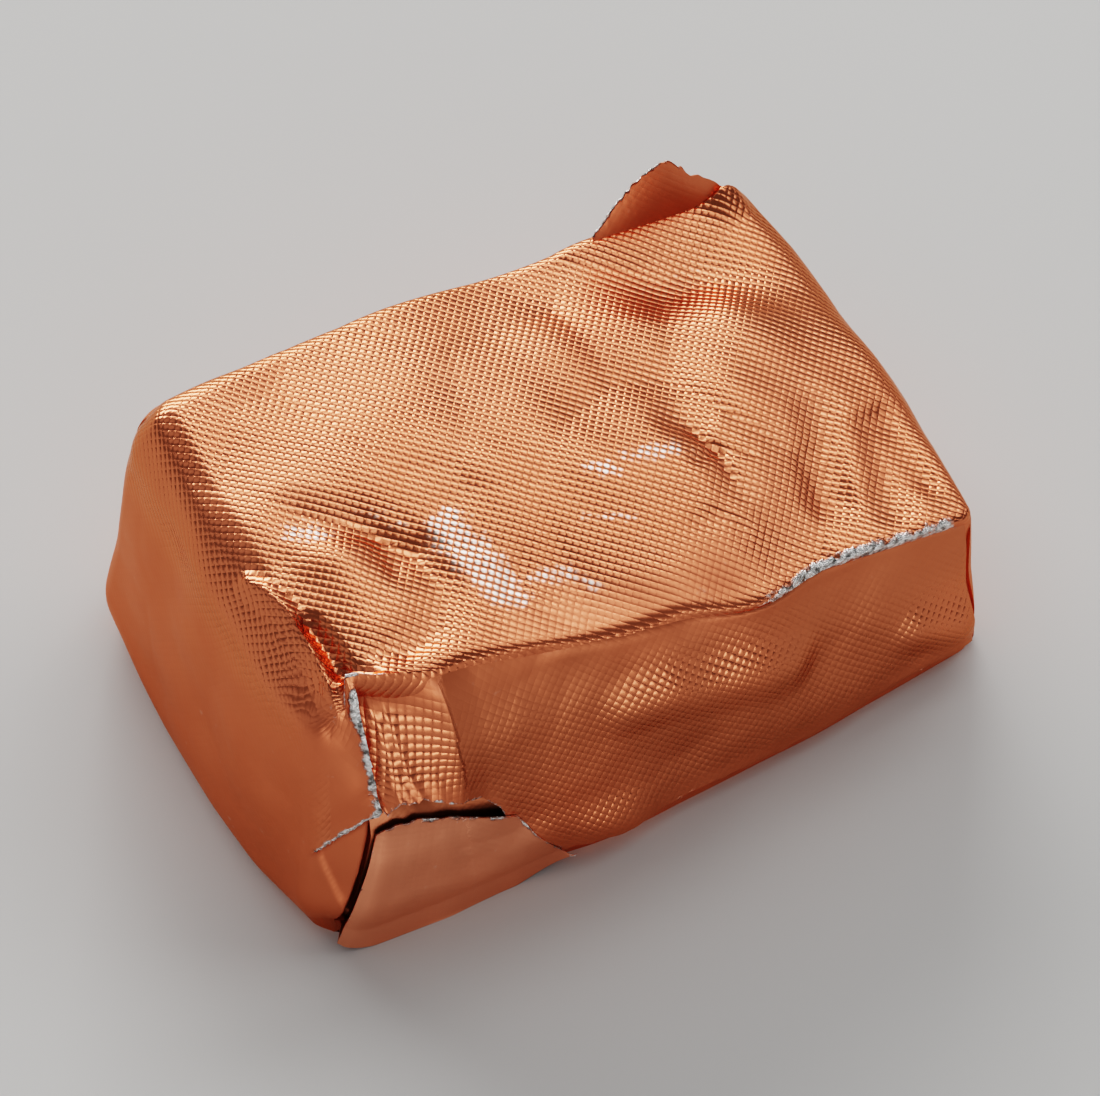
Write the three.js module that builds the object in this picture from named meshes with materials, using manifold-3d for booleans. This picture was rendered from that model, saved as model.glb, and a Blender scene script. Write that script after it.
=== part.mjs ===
// A candied chestnut shut in one sheet of embossed copper foil, as the solid that the folded sheet encloses.
// Millimetres, +Z up. The folded ends face -Y and +Y, and the pack lies on its flat underside at z = 0.
// Its top slopes down towards +X, because the chestnut inside is thicker on the -X side.

import * as THREE from "three";
import { mergeVertices } from "three/addons/utils/BufferGeometryUtils.js";
import Module from "manifold-3d";

const wasm = await Module();
wasm.setup();

// Driving dimensions of the pack, and the drafts of its sides for each millimetre of height
const WIDTH = 38.8;
const DEPTH = 26.2;
const MID_HEIGHT = 14.3;
const FALL_RIGHT = 0.2;
const RISE_BACK = 0.06;
const CROWN = 1.4;
const DRAFT = { left: 0.13, right: 0.02, front: 0.16, back: 0.15 };
const BOW = { left: 0.6, right: 1.2, front: 1.0, back: 0.8 };
const SIDE_SWELL = 0.3;

// Rounding of the edges: the rim over the thick side is soft, and the folds over the ends are crisp
const EDGE_RADIUS = 1.4;
const LEFT_RIM_RADIUS = 2.6;
const END_RIM_RADIUS = 0.8;
const CORNER_RADIUS = 2.4;

// Folded layers of foil, drawn thicker than the sheet so that each edge stands as a ledge.
// A layer on an end dies out between these distances from the end's far corner.
const FLAP_STEP = 0.35;
const EAR_STEP = 0.75;
const BASE_STEP = 0.25;
const FADE_END = 2;
const FADE_START = 7;

// How far the skin is drawn below the table before it is cut flat there
const SINK = 0.3;

// Sizes of the fold at each end, drawn for the front: the corner where the upper flap starts, the height of
// its hem there and at the foot, and the height of the ear that is folded up from below
const FRONT_END = { face: "front", turn: 0, corner: -16.1, hem: 9.5, footHem: 1.6, ear: 8.2 };
const BACK_END = { face: "back", turn: Math.PI, corner: -16.6, hem: 5.6, footHem: 1.6, ear: 4.8 };

// The hem runs level over the lip, slants to the foot by the run, and the ear's slit leans out to the corner
const LIP = 2;
const HEM_RUN = 10;
const EAR_RUN = 9.2;
const SLIT_LEAN = 2.2;

// The last flap of the underside: its margin at the sides, its tip's width and the tip's gap to the back foot
const BASE_MARGIN = 3;
const BASE_TIP = 8;
const BASE_GAP = 5;

// A length that reaches past the pack on every side
const BEYOND = 2 * WIDTH;

// Cells of the surface along X, Y and Z, crowded towards the edges
const CELLS = new THREE.Vector3(44, 30, 16);
const CROWDING = 0.5;

// Outward direction and flat axes of each face that carries fold lines
const FACES = {
  top: { out: new THREE.Vector3(0, 0, 1), flat: ["x", "y"] },
  front: { out: new THREE.Vector3(0, -1, 0), flat: ["x", "z"] },
  back: { out: new THREE.Vector3(0, 1, 0), flat: ["x", "z"] },
};

// Fold lines: a ridge has a positive rise and a valley a negative one, and both die out at their reach.
// A crisp fold runs along the cells and keeps a sharp line; the others are soft.
const FOLDS = [
  { face: "top", from: [-16.2, -10.1], to: [-14, -10.2], reach: 2.8, rise: 2.6, crisp: true },
  { face: "top", from: [-17, -1.5], to: [-17, -8.5], reach: 2.4, rise: 1, crisp: true },
  { face: "top", from: [-12.7, 0.3], to: [-8.6, -3.7], reach: 2.6, rise: -0.45 },
  { face: "top", from: [-8.6, -3.7], to: [-9.7, -7.8], reach: 2.6, rise: -0.55 },
  { face: "top", from: [-9.7, -7.8], to: [-13.2, -8.8], reach: 2.4, rise: -0.5 },
  { face: "top", from: [5, -11.5], to: [19, -11.8], reach: 5, rise: -1.1 },
  { face: "top", from: [8, -2.6], to: [8.9, -5.8], reach: 2.4, rise: -0.45 },
  { face: "top", from: [14.8, -3.3], to: [12, -9], reach: 2, rise: -0.45 },
  { face: "top", from: [17, -5.1], to: [15.4, -9.6], reach: 1.8, rise: -0.4 },
  { face: "top", from: [9, 8.4], to: [15, 4.8], reach: 3, rise: -0.45 },
  { face: "top", from: [12, 11.2], to: [17.6, 11.2], reach: 1.8, rise: 1.7, crisp: true },
  { face: "front", from: [-15.9, 16], to: [-15.9, 9], reach: 4, rise: -1.2, crisp: true },
  { face: "front", from: [-15, 9.5], to: [-10.8, 8], reach: 4, rise: 1 },
  { face: "front", from: [-17, 1.5], to: [-8, 1], reach: 5, rise: -0.7 },
  { face: "front", from: [-9.5, 12.5], to: [-2.5, 2.5], reach: 4, rise: 0.5 },
  { face: "front", from: [1, 11], to: [9, 3], reach: 4, rise: 0.5 },
  { face: "front", from: [13, 8], to: [17.5, 3], reach: 3.5, rise: 0.4 },
];

// A point of the unit cube's surface with its edges rounded to a true radius
function roundedCubePoint(point) {
  const half = new THREE.Vector3(WIDTH / 2, DEPTH / 2, MID_HEIGHT / 2);
  const nearTop = Math.max(0, point.z) ** 2;
  const nearLeft = Math.max(0, -point.x) ** 2;
  const nearEnd = Math.abs(point.y) ** 4;
  const leftRadius = THREE.MathUtils.lerp(EDGE_RADIUS, LEFT_RIM_RADIUS, nearTop * nearLeft);
  const rimRadius = THREE.MathUtils.lerp(leftRadius, END_RIM_RADIUS, nearTop * nearEnd * (1 - nearLeft));
  const nearCorner = nearLeft * nearEnd * (1 - nearTop);
  const radius = THREE.MathUtils.lerp(rimRadius, CORNER_RADIUS, nearCorner);
  const full = point.clone().multiply(half);
  const inset = half.clone().subScalar(radius);
  const core = full.clone().clamp(inset.clone().negate(), inset);
  const rim = full.sub(core);
  return core.add(rim.setLength(radius)).divide(half);
}

// The pack's plain form: a box with leaning sides and a sloping crowned top, sunk a little below the table
function formPoint(unit) {
  const climb = (unit.z + 1) / 2;
  const acrossX = 1 - unit.x ** 2;
  const acrossY = 1 - unit.y ** 2;
  const foot = new THREE.Vector2(unit.x * WIDTH / 2, unit.y * DEPTH / 2);
  const top = MID_HEIGHT - FALL_RIGHT * foot.x + RISE_BACK * foot.y + CROWN * acrossX * acrossY;
  const z = climb * (top + SINK) - SINK;
  const sideX = unit.x < 0 ? "left" : "right";
  const sideY = unit.y < 0 ? "front" : "back";
  const swell = SIDE_SWELL * Math.sin(Math.PI * climb);
  const x = foot.x + unit.x * ((swell + BOW[sideX]) * acrossY - DRAFT[sideX] * z);
  const y = foot.y + unit.y * ((swell + BOW[sideY] * (1 - climb)) * acrossX - DRAFT[sideY] * z);
  return new THREE.Vector3(x, y, z);
}

// How far a fold line lifts a point that lies on its face, falling off from the line to its reach
function foldRise(fold, point) {
  const [first, second] = FACES[fold.face].flat;
  const flat = new THREE.Vector2(point[first], point[second]);
  const from = new THREE.Vector2(...fold.from);
  const along = new THREE.Vector2(...fold.to).sub(from);
  const share = THREE.MathUtils.clamp(flat.clone().sub(from).dot(along) / along.lengthSq(), 0, 1);
  const gap = flat.distanceTo(from.addScaledVector(along, share));
  const nearness = Math.max(0, 1 - gap / fold.reach);
  return fold.rise * (fold.crisp ? nearness ** 2 : THREE.MathUtils.smoothstep(nearness, 0, 1));
}

// The closed skin of the pack, with its fold lines pressed in
function packSkin() {
  const skin = new THREE.BoxGeometry(2, 2, 2, CELLS.x, CELLS.y, CELLS.z);
  skin.deleteAttribute("normal");
  skin.deleteAttribute("uv");
  const merged = mergeVertices(skin);
  const position = merged.getAttribute("position");
  const crowd = (t) => THREE.MathUtils.lerp(t, Math.sin(t * Math.PI / 2), CROWDING);
  for (let i = 0; i < position.count; i += 1) {
    const cube = new THREE.Vector3().fromBufferAttribute(position, i);
    cube.set(crowd(cube.x), crowd(cube.y), crowd(cube.z));
    position.setXYZ(i, ...formPoint(roundedCubePoint(cube)));
  }
  merged.computeVertexNormals();
  const normal = merged.getAttribute("normal");
  for (let i = 0; i < position.count; i += 1) {
    const point = new THREE.Vector3().fromBufferAttribute(position, i);
    const facing = new THREE.Vector3().fromBufferAttribute(normal, i);
    const moved = point.clone();
    for (const fold of FOLDS) {
      const { out } = FACES[fold.face];
      moved.addScaledVector(out, Math.max(0, facing.dot(out)) * foldRise(fold, point));
    }
    position.setXYZ(i, ...moved);
  }
  return merged;
}

// The skin swollen on one end alone, as the outside of one more layer there; it dies out at the far corner
function layerSkin(skin, step, end) {
  const layer = skin.clone();
  layer.computeVertexNormals();
  const position = layer.getAttribute("position");
  const normal = layer.getAttribute("normal");
  const { out } = FACES[end.face];
  for (let i = 0; i < position.count; i += 1) {
    const point = new THREE.Vector3().fromBufferAttribute(position, i);
    const facing = new THREE.Vector3().fromBufferAttribute(normal, i);
    const onEnd = THREE.MathUtils.smoothstep(facing.dot(out), 0.4, 0.9);
    const toFar = WIDTH / 2 - point.x * Math.cos(end.turn);
    const fade = THREE.MathUtils.smoothstep(toFar, FADE_END, FADE_START);
    point.addScaledVector(facing, step * onEnd * fade);
    position.setXYZ(i, ...point);
  }
  return layer;
}

// A closed geometry as a solid that can be joined and cut
function solidOf(geometry) {
  const bare = geometry.clone();
  bare.deleteAttribute("normal");
  bare.deleteAttribute("uv");
  const merged = mergeVertices(bare);
  return new wasm.Manifold(new wasm.Mesh({
    numProp: 3,
    vertProperties: new Float32Array(merged.getAttribute("position").array),
    triVerts: new Uint32Array(merged.getIndex().array),
  }));
}

// A solid's surface as a geometry with smooth-ready shared vertices
function geometryOf(solid) {
  const mesh = solid.getMesh();
  const geometry = new THREE.BufferGeometry();
  geometry.setAttribute("position", new THREE.BufferAttribute(mesh.vertProperties, 3));
  geometry.setIndex(new THREE.BufferAttribute(mesh.triVerts, 1));
  geometry.computeVertexNormals();
  return geometry;
}

// A straight-sided solid over an outline drawn in X and Z, standing through the front half of the pack
function endPrism(outline) {
  const shape = new THREE.Shape(outline.map(([x, z]) => new THREE.Vector2(x, z)));
  const prism = new THREE.ExtrudeGeometry(shape, { depth: BEYOND, bevelEnabled: false });
  prism.rotateX(Math.PI / 2);
  prism.translate(0, -DEPTH / 4, 0);
  return prism;
}

// The upper flap of an end: it starts beside the corner, and its hem slants down to the foot
function flapOutline(end) {
  const lipEnd = end.corner + LIP;
  const runEnd = end.corner + HEM_RUN;
  return [
    [end.corner, BEYOND],
    [end.corner, end.hem],
    [lipEnd, end.hem],
    [THREE.MathUtils.lerp(lipEnd, runEnd, 0.45), THREE.MathUtils.lerp(end.footHem, end.hem, 0.7)],
    [runEnd, end.footHem],
    [BEYOND, end.footHem],
    [BEYOND, BEYOND],
  ];
}

// The ear of an end: a blunt triangle folded up from below, with a slit between it and the corner
function earOutline(end) {
  const lipEnd = end.corner + LIP;
  const runEnd = end.corner + EAR_RUN;
  return [
    [end.corner - SLIT_LEAN, -BEYOND],
    [end.corner - SLIT_LEAN, end.footHem / 2],
    [end.corner, end.ear],
    [lipEnd, end.ear],
    [THREE.MathUtils.lerp(lipEnd, runEnd, 0.75), end.ear / 2],
    [runEnd, end.footHem / 2],
    [runEnd + LIP, -BEYOND],
  ];
}

// The layers that fold over an end; the back end's outlines are the front one's turned about Z
function endLayers(skin, end) {
  const cut = (outline, step) => {
    const layer = layerSkin(skin, step, end);
    return solidOf(layer).intersect(solidOf(endPrism(outline).rotateZ(end.turn)));
  };
  return cut(flapOutline(end), FLAP_STEP).add(cut(earOutline(end), EAR_STEP));
}

// What the underside lacks round its last flap: a shallow step cut from everything but that flap
function baseRecess() {
  const plate = new THREE.BoxGeometry(2 * BEYOND, 2 * BEYOND, 2 * BASE_STEP);
  const side = WIDTH / 2 - BASE_MARGIN;
  const flap = new THREE.Shape([
    new THREE.Vector2(-WIDTH / 2, -BEYOND / 2),
    new THREE.Vector2(WIDTH / 2, -BEYOND / 2),
    new THREE.Vector2(side, BASE_MARGIN - DEPTH / 2),
    new THREE.Vector2(BASE_TIP / 2, DEPTH / 2 - BASE_GAP),
    new THREE.Vector2(-BASE_TIP / 2, DEPTH / 2 - BASE_GAP),
    new THREE.Vector2(-side, BASE_MARGIN - DEPTH / 2),
  ]);
  const kept = new THREE.ExtrudeGeometry(flap, { depth: 4 * BASE_STEP, bevelEnabled: false });
  kept.translate(0, 0, -2 * BASE_STEP);
  return solidOf(plate).subtract(solidOf(kept));
}

// The whole pack, with its bounding box centred over the origin and its underside at z = 0
function packGeometry() {
  const skin = packSkin();
  const below = new THREE.BoxGeometry(2 * BEYOND, 2 * BEYOND, BEYOND);
  below.translate(0, 0, -BEYOND / 2);
  const pack = solidOf(skin)
    .add(endLayers(skin, FRONT_END))
    .add(endLayers(skin, BACK_END))
    .subtract(solidOf(below))
    .subtract(baseRecess());
  const geometry = geometryOf(pack);
  geometry.computeBoundingBox();
  const centre = geometry.boundingBox.getCenter(new THREE.Vector3());
  geometry.translate(-centre.x, -centre.y, -geometry.boundingBox.min.z);
  return geometry;
}

const copperFoil = new THREE.MeshStandardMaterial({ color: 0xc87848, roughness: 0.35, metalness: 1 });

const wrappedSweet = new THREE.Group();
const foilPack = new THREE.Mesh(packGeometry(), copperFoil);
foilPack.name = "foil_pack";
wrappedSweet.add(foilPack);

export default wrappedSweet;
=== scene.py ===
"""Looks of a candied chestnut shut in one sheet of embossed copper foil.

The pack is drawn in millimetres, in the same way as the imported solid: a leaning box with a sloping
crowned top, into which fold lines are pressed. The body, the flaps and the ears of the two folded ends, the
lip behind the back ridge and the last flap of the underside are separate thin pieces, as the folded sheet
shows them. Every mesh ends in metres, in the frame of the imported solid.
"""

from __future__ import annotations

import logging
import math
from collections.abc import Iterator, Sequence
from contextlib import contextmanager
from dataclasses import dataclass, replace
from enum import Enum

import bmesh
import bpy
import numpy as np
from mathutils import Matrix, Vector


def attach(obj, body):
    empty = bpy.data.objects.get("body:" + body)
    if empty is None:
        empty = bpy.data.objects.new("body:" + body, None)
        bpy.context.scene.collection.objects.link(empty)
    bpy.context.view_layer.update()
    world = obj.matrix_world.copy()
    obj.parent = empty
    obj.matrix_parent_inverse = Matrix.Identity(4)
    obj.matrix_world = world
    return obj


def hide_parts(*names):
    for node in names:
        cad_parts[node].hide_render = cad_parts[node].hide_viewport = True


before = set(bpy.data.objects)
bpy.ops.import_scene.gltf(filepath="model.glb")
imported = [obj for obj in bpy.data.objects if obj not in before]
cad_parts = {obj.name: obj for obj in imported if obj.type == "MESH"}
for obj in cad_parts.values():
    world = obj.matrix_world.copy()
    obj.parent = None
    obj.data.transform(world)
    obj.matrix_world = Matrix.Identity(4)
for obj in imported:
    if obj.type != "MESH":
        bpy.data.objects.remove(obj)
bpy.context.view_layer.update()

LOG = logging.getLogger("foil_pack")
MM = 0.001
CAD_NODE = "foil_pack"
BODY = "root"
Array = np.ndarray
Colour = tuple[float, float, float, float]
Path = tuple[tuple[float, float], ...]
Socket = bpy.types.NodeSocket

# Places on the cube, from -1 to 1, lie on one of its faces from here on
ON_FACE = 0.9999

# Starts of the random draws of the sheet's ripple and of its facets, one more for each further face
RIPPLE_SEED = 11
CRUMPLE_SEED = 51

# Heights between which the sheet goes from even at the foot to rippled
FOOT_FADE = (0.2, 2.5)


class Face(Enum):
    """A face of the pack: its outward axis and sign, the axes flat on it, and the tilt of its facets."""

    TOP = (2, 1.0, (0, 1), 0.045)
    FRONT = (1, -1.0, (0, 2), 0.02)
    BACK = (1, 1.0, (0, 2), 0.02)
    LEFT = (0, -1.0, (1, 2), 0.02)
    RIGHT = (0, 1.0, (1, 2), 0.02)

    @property
    def axis(self) -> int:
        """The number of the outward axis."""
        return self.value[0]

    @property
    def sign(self) -> float:
        """The sign of the outward direction on its axis."""
        return self.value[1]

    @property
    def crumple(self) -> float:
        """How far the facets of crumpled foil tilt on the face."""
        return self.value[3]

    @property
    def flat(self) -> tuple[int, int]:
        """The numbers of the two axes that lie flat on the face."""
        return self.value[2]


class Profile(Enum):
    """How a fold line falls off from its middle to its reach."""

    SOFT = "soft"
    CRISP = "crisp"
    TENT = "tent"


def smooth(value: Array, low: float, high: float) -> Array:
    """Eases from 0 at low to 1 at high.

    Args:
        value: Numbers to ease.
        low: Where the result leaves 0.
        high: Where the result reaches 1.

    Returns:
        Eased numbers from 0 to 1.
    """
    share = np.clip((value - low) / (high - low), 0.0, 1.0)
    return share * share * (3.0 - 2.0 * share)


def mix(first: Array | float, second: Array | float, share: Array | float) -> Array:
    """Goes from first to second as share goes from 0 to 1."""
    return first + (second - first) * share


def bell(distance: Array, width: float | Array) -> Array:
    """Falls from 1 at no distance, steeply from about the width on."""
    return np.exp(-((distance / width) ** 2))


def path_gap(path: Path, flat: Array) -> Array:
    """Distance of places from a line of straight stretches.

    Args:
        path: The places that the line runs through.
        flat: Places on the same flat axes, two numbers each.

    Returns:
        One distance for each place.
    """
    nearest = np.full(len(flat), np.inf)
    for first, second in zip(path, path[1:]):
        start = np.array(first)
        along = np.array(second) - start
        share = np.clip((flat - start) @ along / (along @ along), 0.0, 1.0)
        nearest = np.minimum(nearest, np.linalg.norm(flat - start - share[:, None] * along, axis=1))
    return nearest


@dataclass(frozen=True)
class Crease:
    """A fold line pressed into a face, in millimetres on the face's flat axes.

    A ridge has a positive rise and a valley a negative one. Wear is how far its line is rubbed to silver.
    """

    face: Face
    path: Path
    reach: float
    rise: float
    profile: Profile = Profile.SOFT
    wear: float = 0.0

    def gap(self, points: Array) -> Array:
        """Distance of points from the line, measured on the face."""
        return path_gap(self.path, points[:, self.face.flat])

    def lift(self, points: Array) -> Array:
        """How far the line lifts each point.

        Args:
            points: Places in millimetres, one row each.

        Returns:
            One height for each point.
        """
        near = np.maximum(0.0, 1.0 - self.gap(points) / self.reach)
        if self.profile is Profile.SOFT:
            return self.rise * near * near * (3.0 - 2.0 * near)
        if self.profile is Profile.CRISP:
            return self.rise * near**2
        return self.rise * near**1.3


@dataclass(frozen=True)
class CrinklePatch:
    """Fine crossing folds round one place of the top, in millimetres."""

    middle: tuple[float, float]
    lines: int
    seed: int
    spread: float = 0.9
    half_lengths: tuple[float, float] = (0.5, 1.2)
    rises: tuple[float, float] = (0.03, 0.06)
    reach: float = 0.8

    def creases(self) -> list[Crease]:
        """Draws the folds.

        Returns:
            Short shallow valleys and ridges by turns.
        """
        random = np.random.default_rng(self.seed)
        found = []
        for number in range(self.lines):
            place = np.array(self.middle) + random.normal(0.0, self.spread, 2)
            turn = random.uniform(0.0, math.pi)
            half = random.uniform(*self.half_lengths) * np.array([math.cos(turn), math.sin(turn)])
            rise = random.uniform(*self.rises) * (1.0 if number % 2 else -1.0)
            ends = (tuple(place - half), tuple(place + half))
            found.append(Crease(Face.TOP, ends, self.reach, rise, Profile.TENT))
        return found


@dataclass(frozen=True)
class HighlightPatch:
    """A patch of the top with a highlight painted into its colour, along a line in millimetres."""

    path: Path
    half_width: float
    most: float

    def share(self, points: Array) -> Array:
        """How strong the painted highlight is at each point."""
        return self.most * bell(path_gap(self.path, points[:, :2]), self.half_width)


# Places along the longer folds of the top, from the back to the front
CREST = ((-16.75, -1.7), (-16.3, -2.6), (-15.95, -4.2), (-15.85, -6.0), (-15.95, -8.1), (-16.15, -9.7))
POCKET = ((-15.3, -5.4), (-15.1, -6.9), (-15.2, -8.4), (-15.5, -9.6))
CRESCENT = ((-12.7, 0.3), (-10.4, -1.3), (-8.6, -3.7), (-8.5, -6.0), (-9.7, -7.8), (-11.8, -8.8))

# Folds of the top's front left corner: the low shoulder, the crest over the thick side, and the pocket
CORNER_CREASES = [
    Crease(Face.TOP, ((-18.1, -3.0), (-17.7, -6.5), (-17.4, -10.0)), 2.4, -0.35),
    Crease(Face.TOP, CREST, 0.7, 0.55, Profile.TENT, 0.12),
    Crease(Face.TOP, POCKET, 0.9, -0.55),
    Crease(Face.TOP, ((-16.9, -7.5), (-16.4, -10.4)), 1.6, -0.5),
    Crease(Face.TOP, ((-15.0, -8.3), (-14.2, -9.1)), 0.9, -0.35),
]

# Folds of the rest of the top: the crescent dent and the dome beside it, the sag of the front ridge, the
# pinch, the wrinkles at the thin side, the raised back ridge with its peak, and the hollow before it
TOP_CREASES = [
    Crease(Face.TOP, CRESCENT, 2.2, -0.24),
    Crease(Face.TOP, CRESCENT, 0.9, -0.06, Profile.TENT),
    Crease(Face.TOP, ((-12.4, -3.2), (-12.6, -6.2)), 3.0, 0.35),
    Crease(Face.TOP, ((5.5, -11.8), (7.5, -11.8)), 4.0, -0.45),
    Crease(Face.TOP, ((7.6, -1.6), (8.3, -3.6), (8.2, -5.6)), 1.8, -0.2),
    Crease(Face.TOP, ((7.9, -2.2), (8.4, -3.7), (8.3, -5.2)), 0.6, -0.14, Profile.TENT),
    Crease(Face.TOP, ((7.0, -3.9), (8.4, -3.7), (9.9, -4.4)), 0.6, -0.12, Profile.TENT),
    Crease(Face.TOP, ((8.6, -3.0), (9.6, -2.2)), 0.7, 0.1, Profile.TENT),
    Crease(Face.TOP, ((14.8, -3.3), (12.6, -8.0)), 2.0, -0.28),
    Crease(Face.TOP, ((17.0, -5.1), (15.4, -9.6)), 1.8, -0.3),
    Crease(Face.TOP, ((18.4, -4.6), (17.8, -8.6)), 1.5, -0.25),
    Crease(Face.TOP, ((9.0, 8.4), (15.0, 4.8)), 3.0, -0.18),
    Crease(Face.TOP, ((9.0, 11.2), (17.8, 11.2)), 5.5, 0.95),
    Crease(Face.TOP, ((17.7, 10.9), (18.1, 11.0)), 2.2, 0.8, Profile.CRISP),
    Crease(Face.TOP, ((1.0, 4.5), (8.0, 1.0)), 4.5, -0.2),
    Crease(Face.TOP, ((3.0, 10.5), (13.0, 9.5)), 6.0, -0.35),
    Crease(Face.TOP, ((11.5, -0.5), (14.5, 3.5)), 3.6, 0.25),
    *CrinklePatch((-9.4, -2.4), 7, 61).creases(),
    *CrinklePatch((-6.0, -4.7), 7, 62).creases(),
    *CrinklePatch((-4.7, -8.0), 5, 63).creases(),
    *CrinklePatch((6.6, -6.8), 5, 64).creases(),
    *CrinklePatch((15.0, -7.0), 6, 65).creases(),
]

# Where a highlight is painted into the top's colour, in pale patches
PAINTED_HIGHLIGHT_PATCHES = [
    HighlightPatch(((-6.5, -3.2), (-6.1, -4.6), (-5.8, -6.0), (-5.6, -6.9)), 1.15, 1.0),
    HighlightPatch(((-6.0, -2.4), (-6.1, -3.9), (-5.8, -5.6)), 0.7, 0.8),
    HighlightPatch(((-9.6, -0.8), (-8.2, -2.0)), 0.6, 0.5),
    HighlightPatch(((-13.6, -0.4), (-12.6, -0.9)), 0.8, 0.6),
    HighlightPatch(((1.9, -2.6), (2.9, -3.2)), 0.5, 0.75),
    HighlightPatch(((4.0, -2.8), (5.4, -2.9), (6.6, -3.1)), 0.6, 0.65),
    HighlightPatch(((0.1, -4.9), (2.3, -5.8)), 0.3, 0.6),
    HighlightPatch(((-6.2, -7.3), (-5.0, -8.0)), 0.45, 0.7),
    HighlightPatch(((-3.9, -6.9), (-2.0, -7.3), (-1.2, -8.4)), 0.5, 0.6),
]

# Folds of the front end: the foot, the hollow below the ridge, and the bulges along it
FRONT_CREASES = [
    Crease(Face.FRONT, ((-17.0, 1.5), (-8.0, 1.0)), 5.0, -0.5),
    Crease(Face.FRONT, ((-9.0, 14.0), (0.0, 12.3), (12.0, 9.8), (17.5, 8.6)), 3.0, -0.15),
    Crease(Face.FRONT, ((-9.5, 11.5), (-2.5, 2.5)), 4.5, 0.25),
    Crease(Face.FRONT, ((1.0, 9.0), (9.0, 3.0)), 4.5, 0.3),
    Crease(Face.FRONT, ((13.0, 6.0), (17.5, 3.0)), 3.5, 0.15),
    Crease(Face.FRONT, ((-11.0, 14.6), (-11.3, 9.0)), 1.8, 0.3, Profile.TENT),
    Crease(Face.FRONT, ((-4.5, 12.5), (-8.0, 6.0)), 2.6, -0.12, Profile.TENT),
    Crease(Face.FRONT, ((0.5, 10.5), (3.8, 4.0)), 2.2, 0.12, Profile.TENT),
    Crease(Face.FRONT, ((-1.5, 9.4), (2.5, 8.5), (7.5, 7.0)), 2.2, 0.34),
    Crease(Face.FRONT, ((15.2, 4.4), (18.4, 3.0)), 1.9, 0.32),
    Crease(Face.FRONT, ((-6.5, 3.2), (-2.5, 2.2)), 2.4, 0.26),
]

# Folds of the back end, which is folded like the front one, turned half round
BACK_CREASES = [
    Crease(Face.BACK, ((17.0, 1.5), (8.0, 1.0)), 5.0, -0.5),
    Crease(Face.BACK, ((8.5, 10.5), (2.0, 2.5)), 4.0, 0.45),
    Crease(Face.BACK, ((-3.0, 13.0), (-9.0, 4.0)), 4.0, 0.45),
    Crease(Face.BACK, ((11.0, 11.0), (10.6, 6.0)), 2.0, 0.35, Profile.TENT),
    Crease(Face.BACK, ((-1.0, 12.5), (-4.5, 5.0)), 2.0, 0.22, Profile.TENT),
    Crease(Face.BACK, ((-13.0, 13.0), (-16.0, 6.0)), 1.8, 0.25, Profile.TENT),
]

# Folds of the long sides: faint dents where the sheet lies over the nut
SIDE_CREASES = [
    Crease(Face.LEFT, ((-6.0, 14.0), (-3.5, 4.0)), 4.0, 0.2),
    Crease(Face.LEFT, ((3.0, 13.5), (6.5, 3.0)), 4.5, -0.25),
    Crease(Face.LEFT, ((-10.5, 10.0), (-8.0, 2.5)), 2.6, -0.15),
    Crease(Face.RIGHT, ((-8.0, 7.0), (-3.0, 2.5)), 3.5, 0.12),
    Crease(Face.RIGHT, ((2.0, 8.0), (7.0, 2.5)), 3.5, -0.25),
]

# What only the flaps do: their hems flare out over the ears
FLARE_CREASES = [
    Crease(Face.FRONT, ((-13.8, 10.1), (-11.8, 9.4)), 2.0, 0.12),
    Crease(Face.BACK, ((13.8, 5.9), (11.8, 5.4)), 2.0, 0.12),
]

SKIN_CREASES = [*CORNER_CREASES, *TOP_CREASES, *FRONT_CREASES, *BACK_CREASES, *SIDE_CREASES]
FLAP_CREASES = [*SKIN_CREASES, *FLARE_CREASES]


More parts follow.
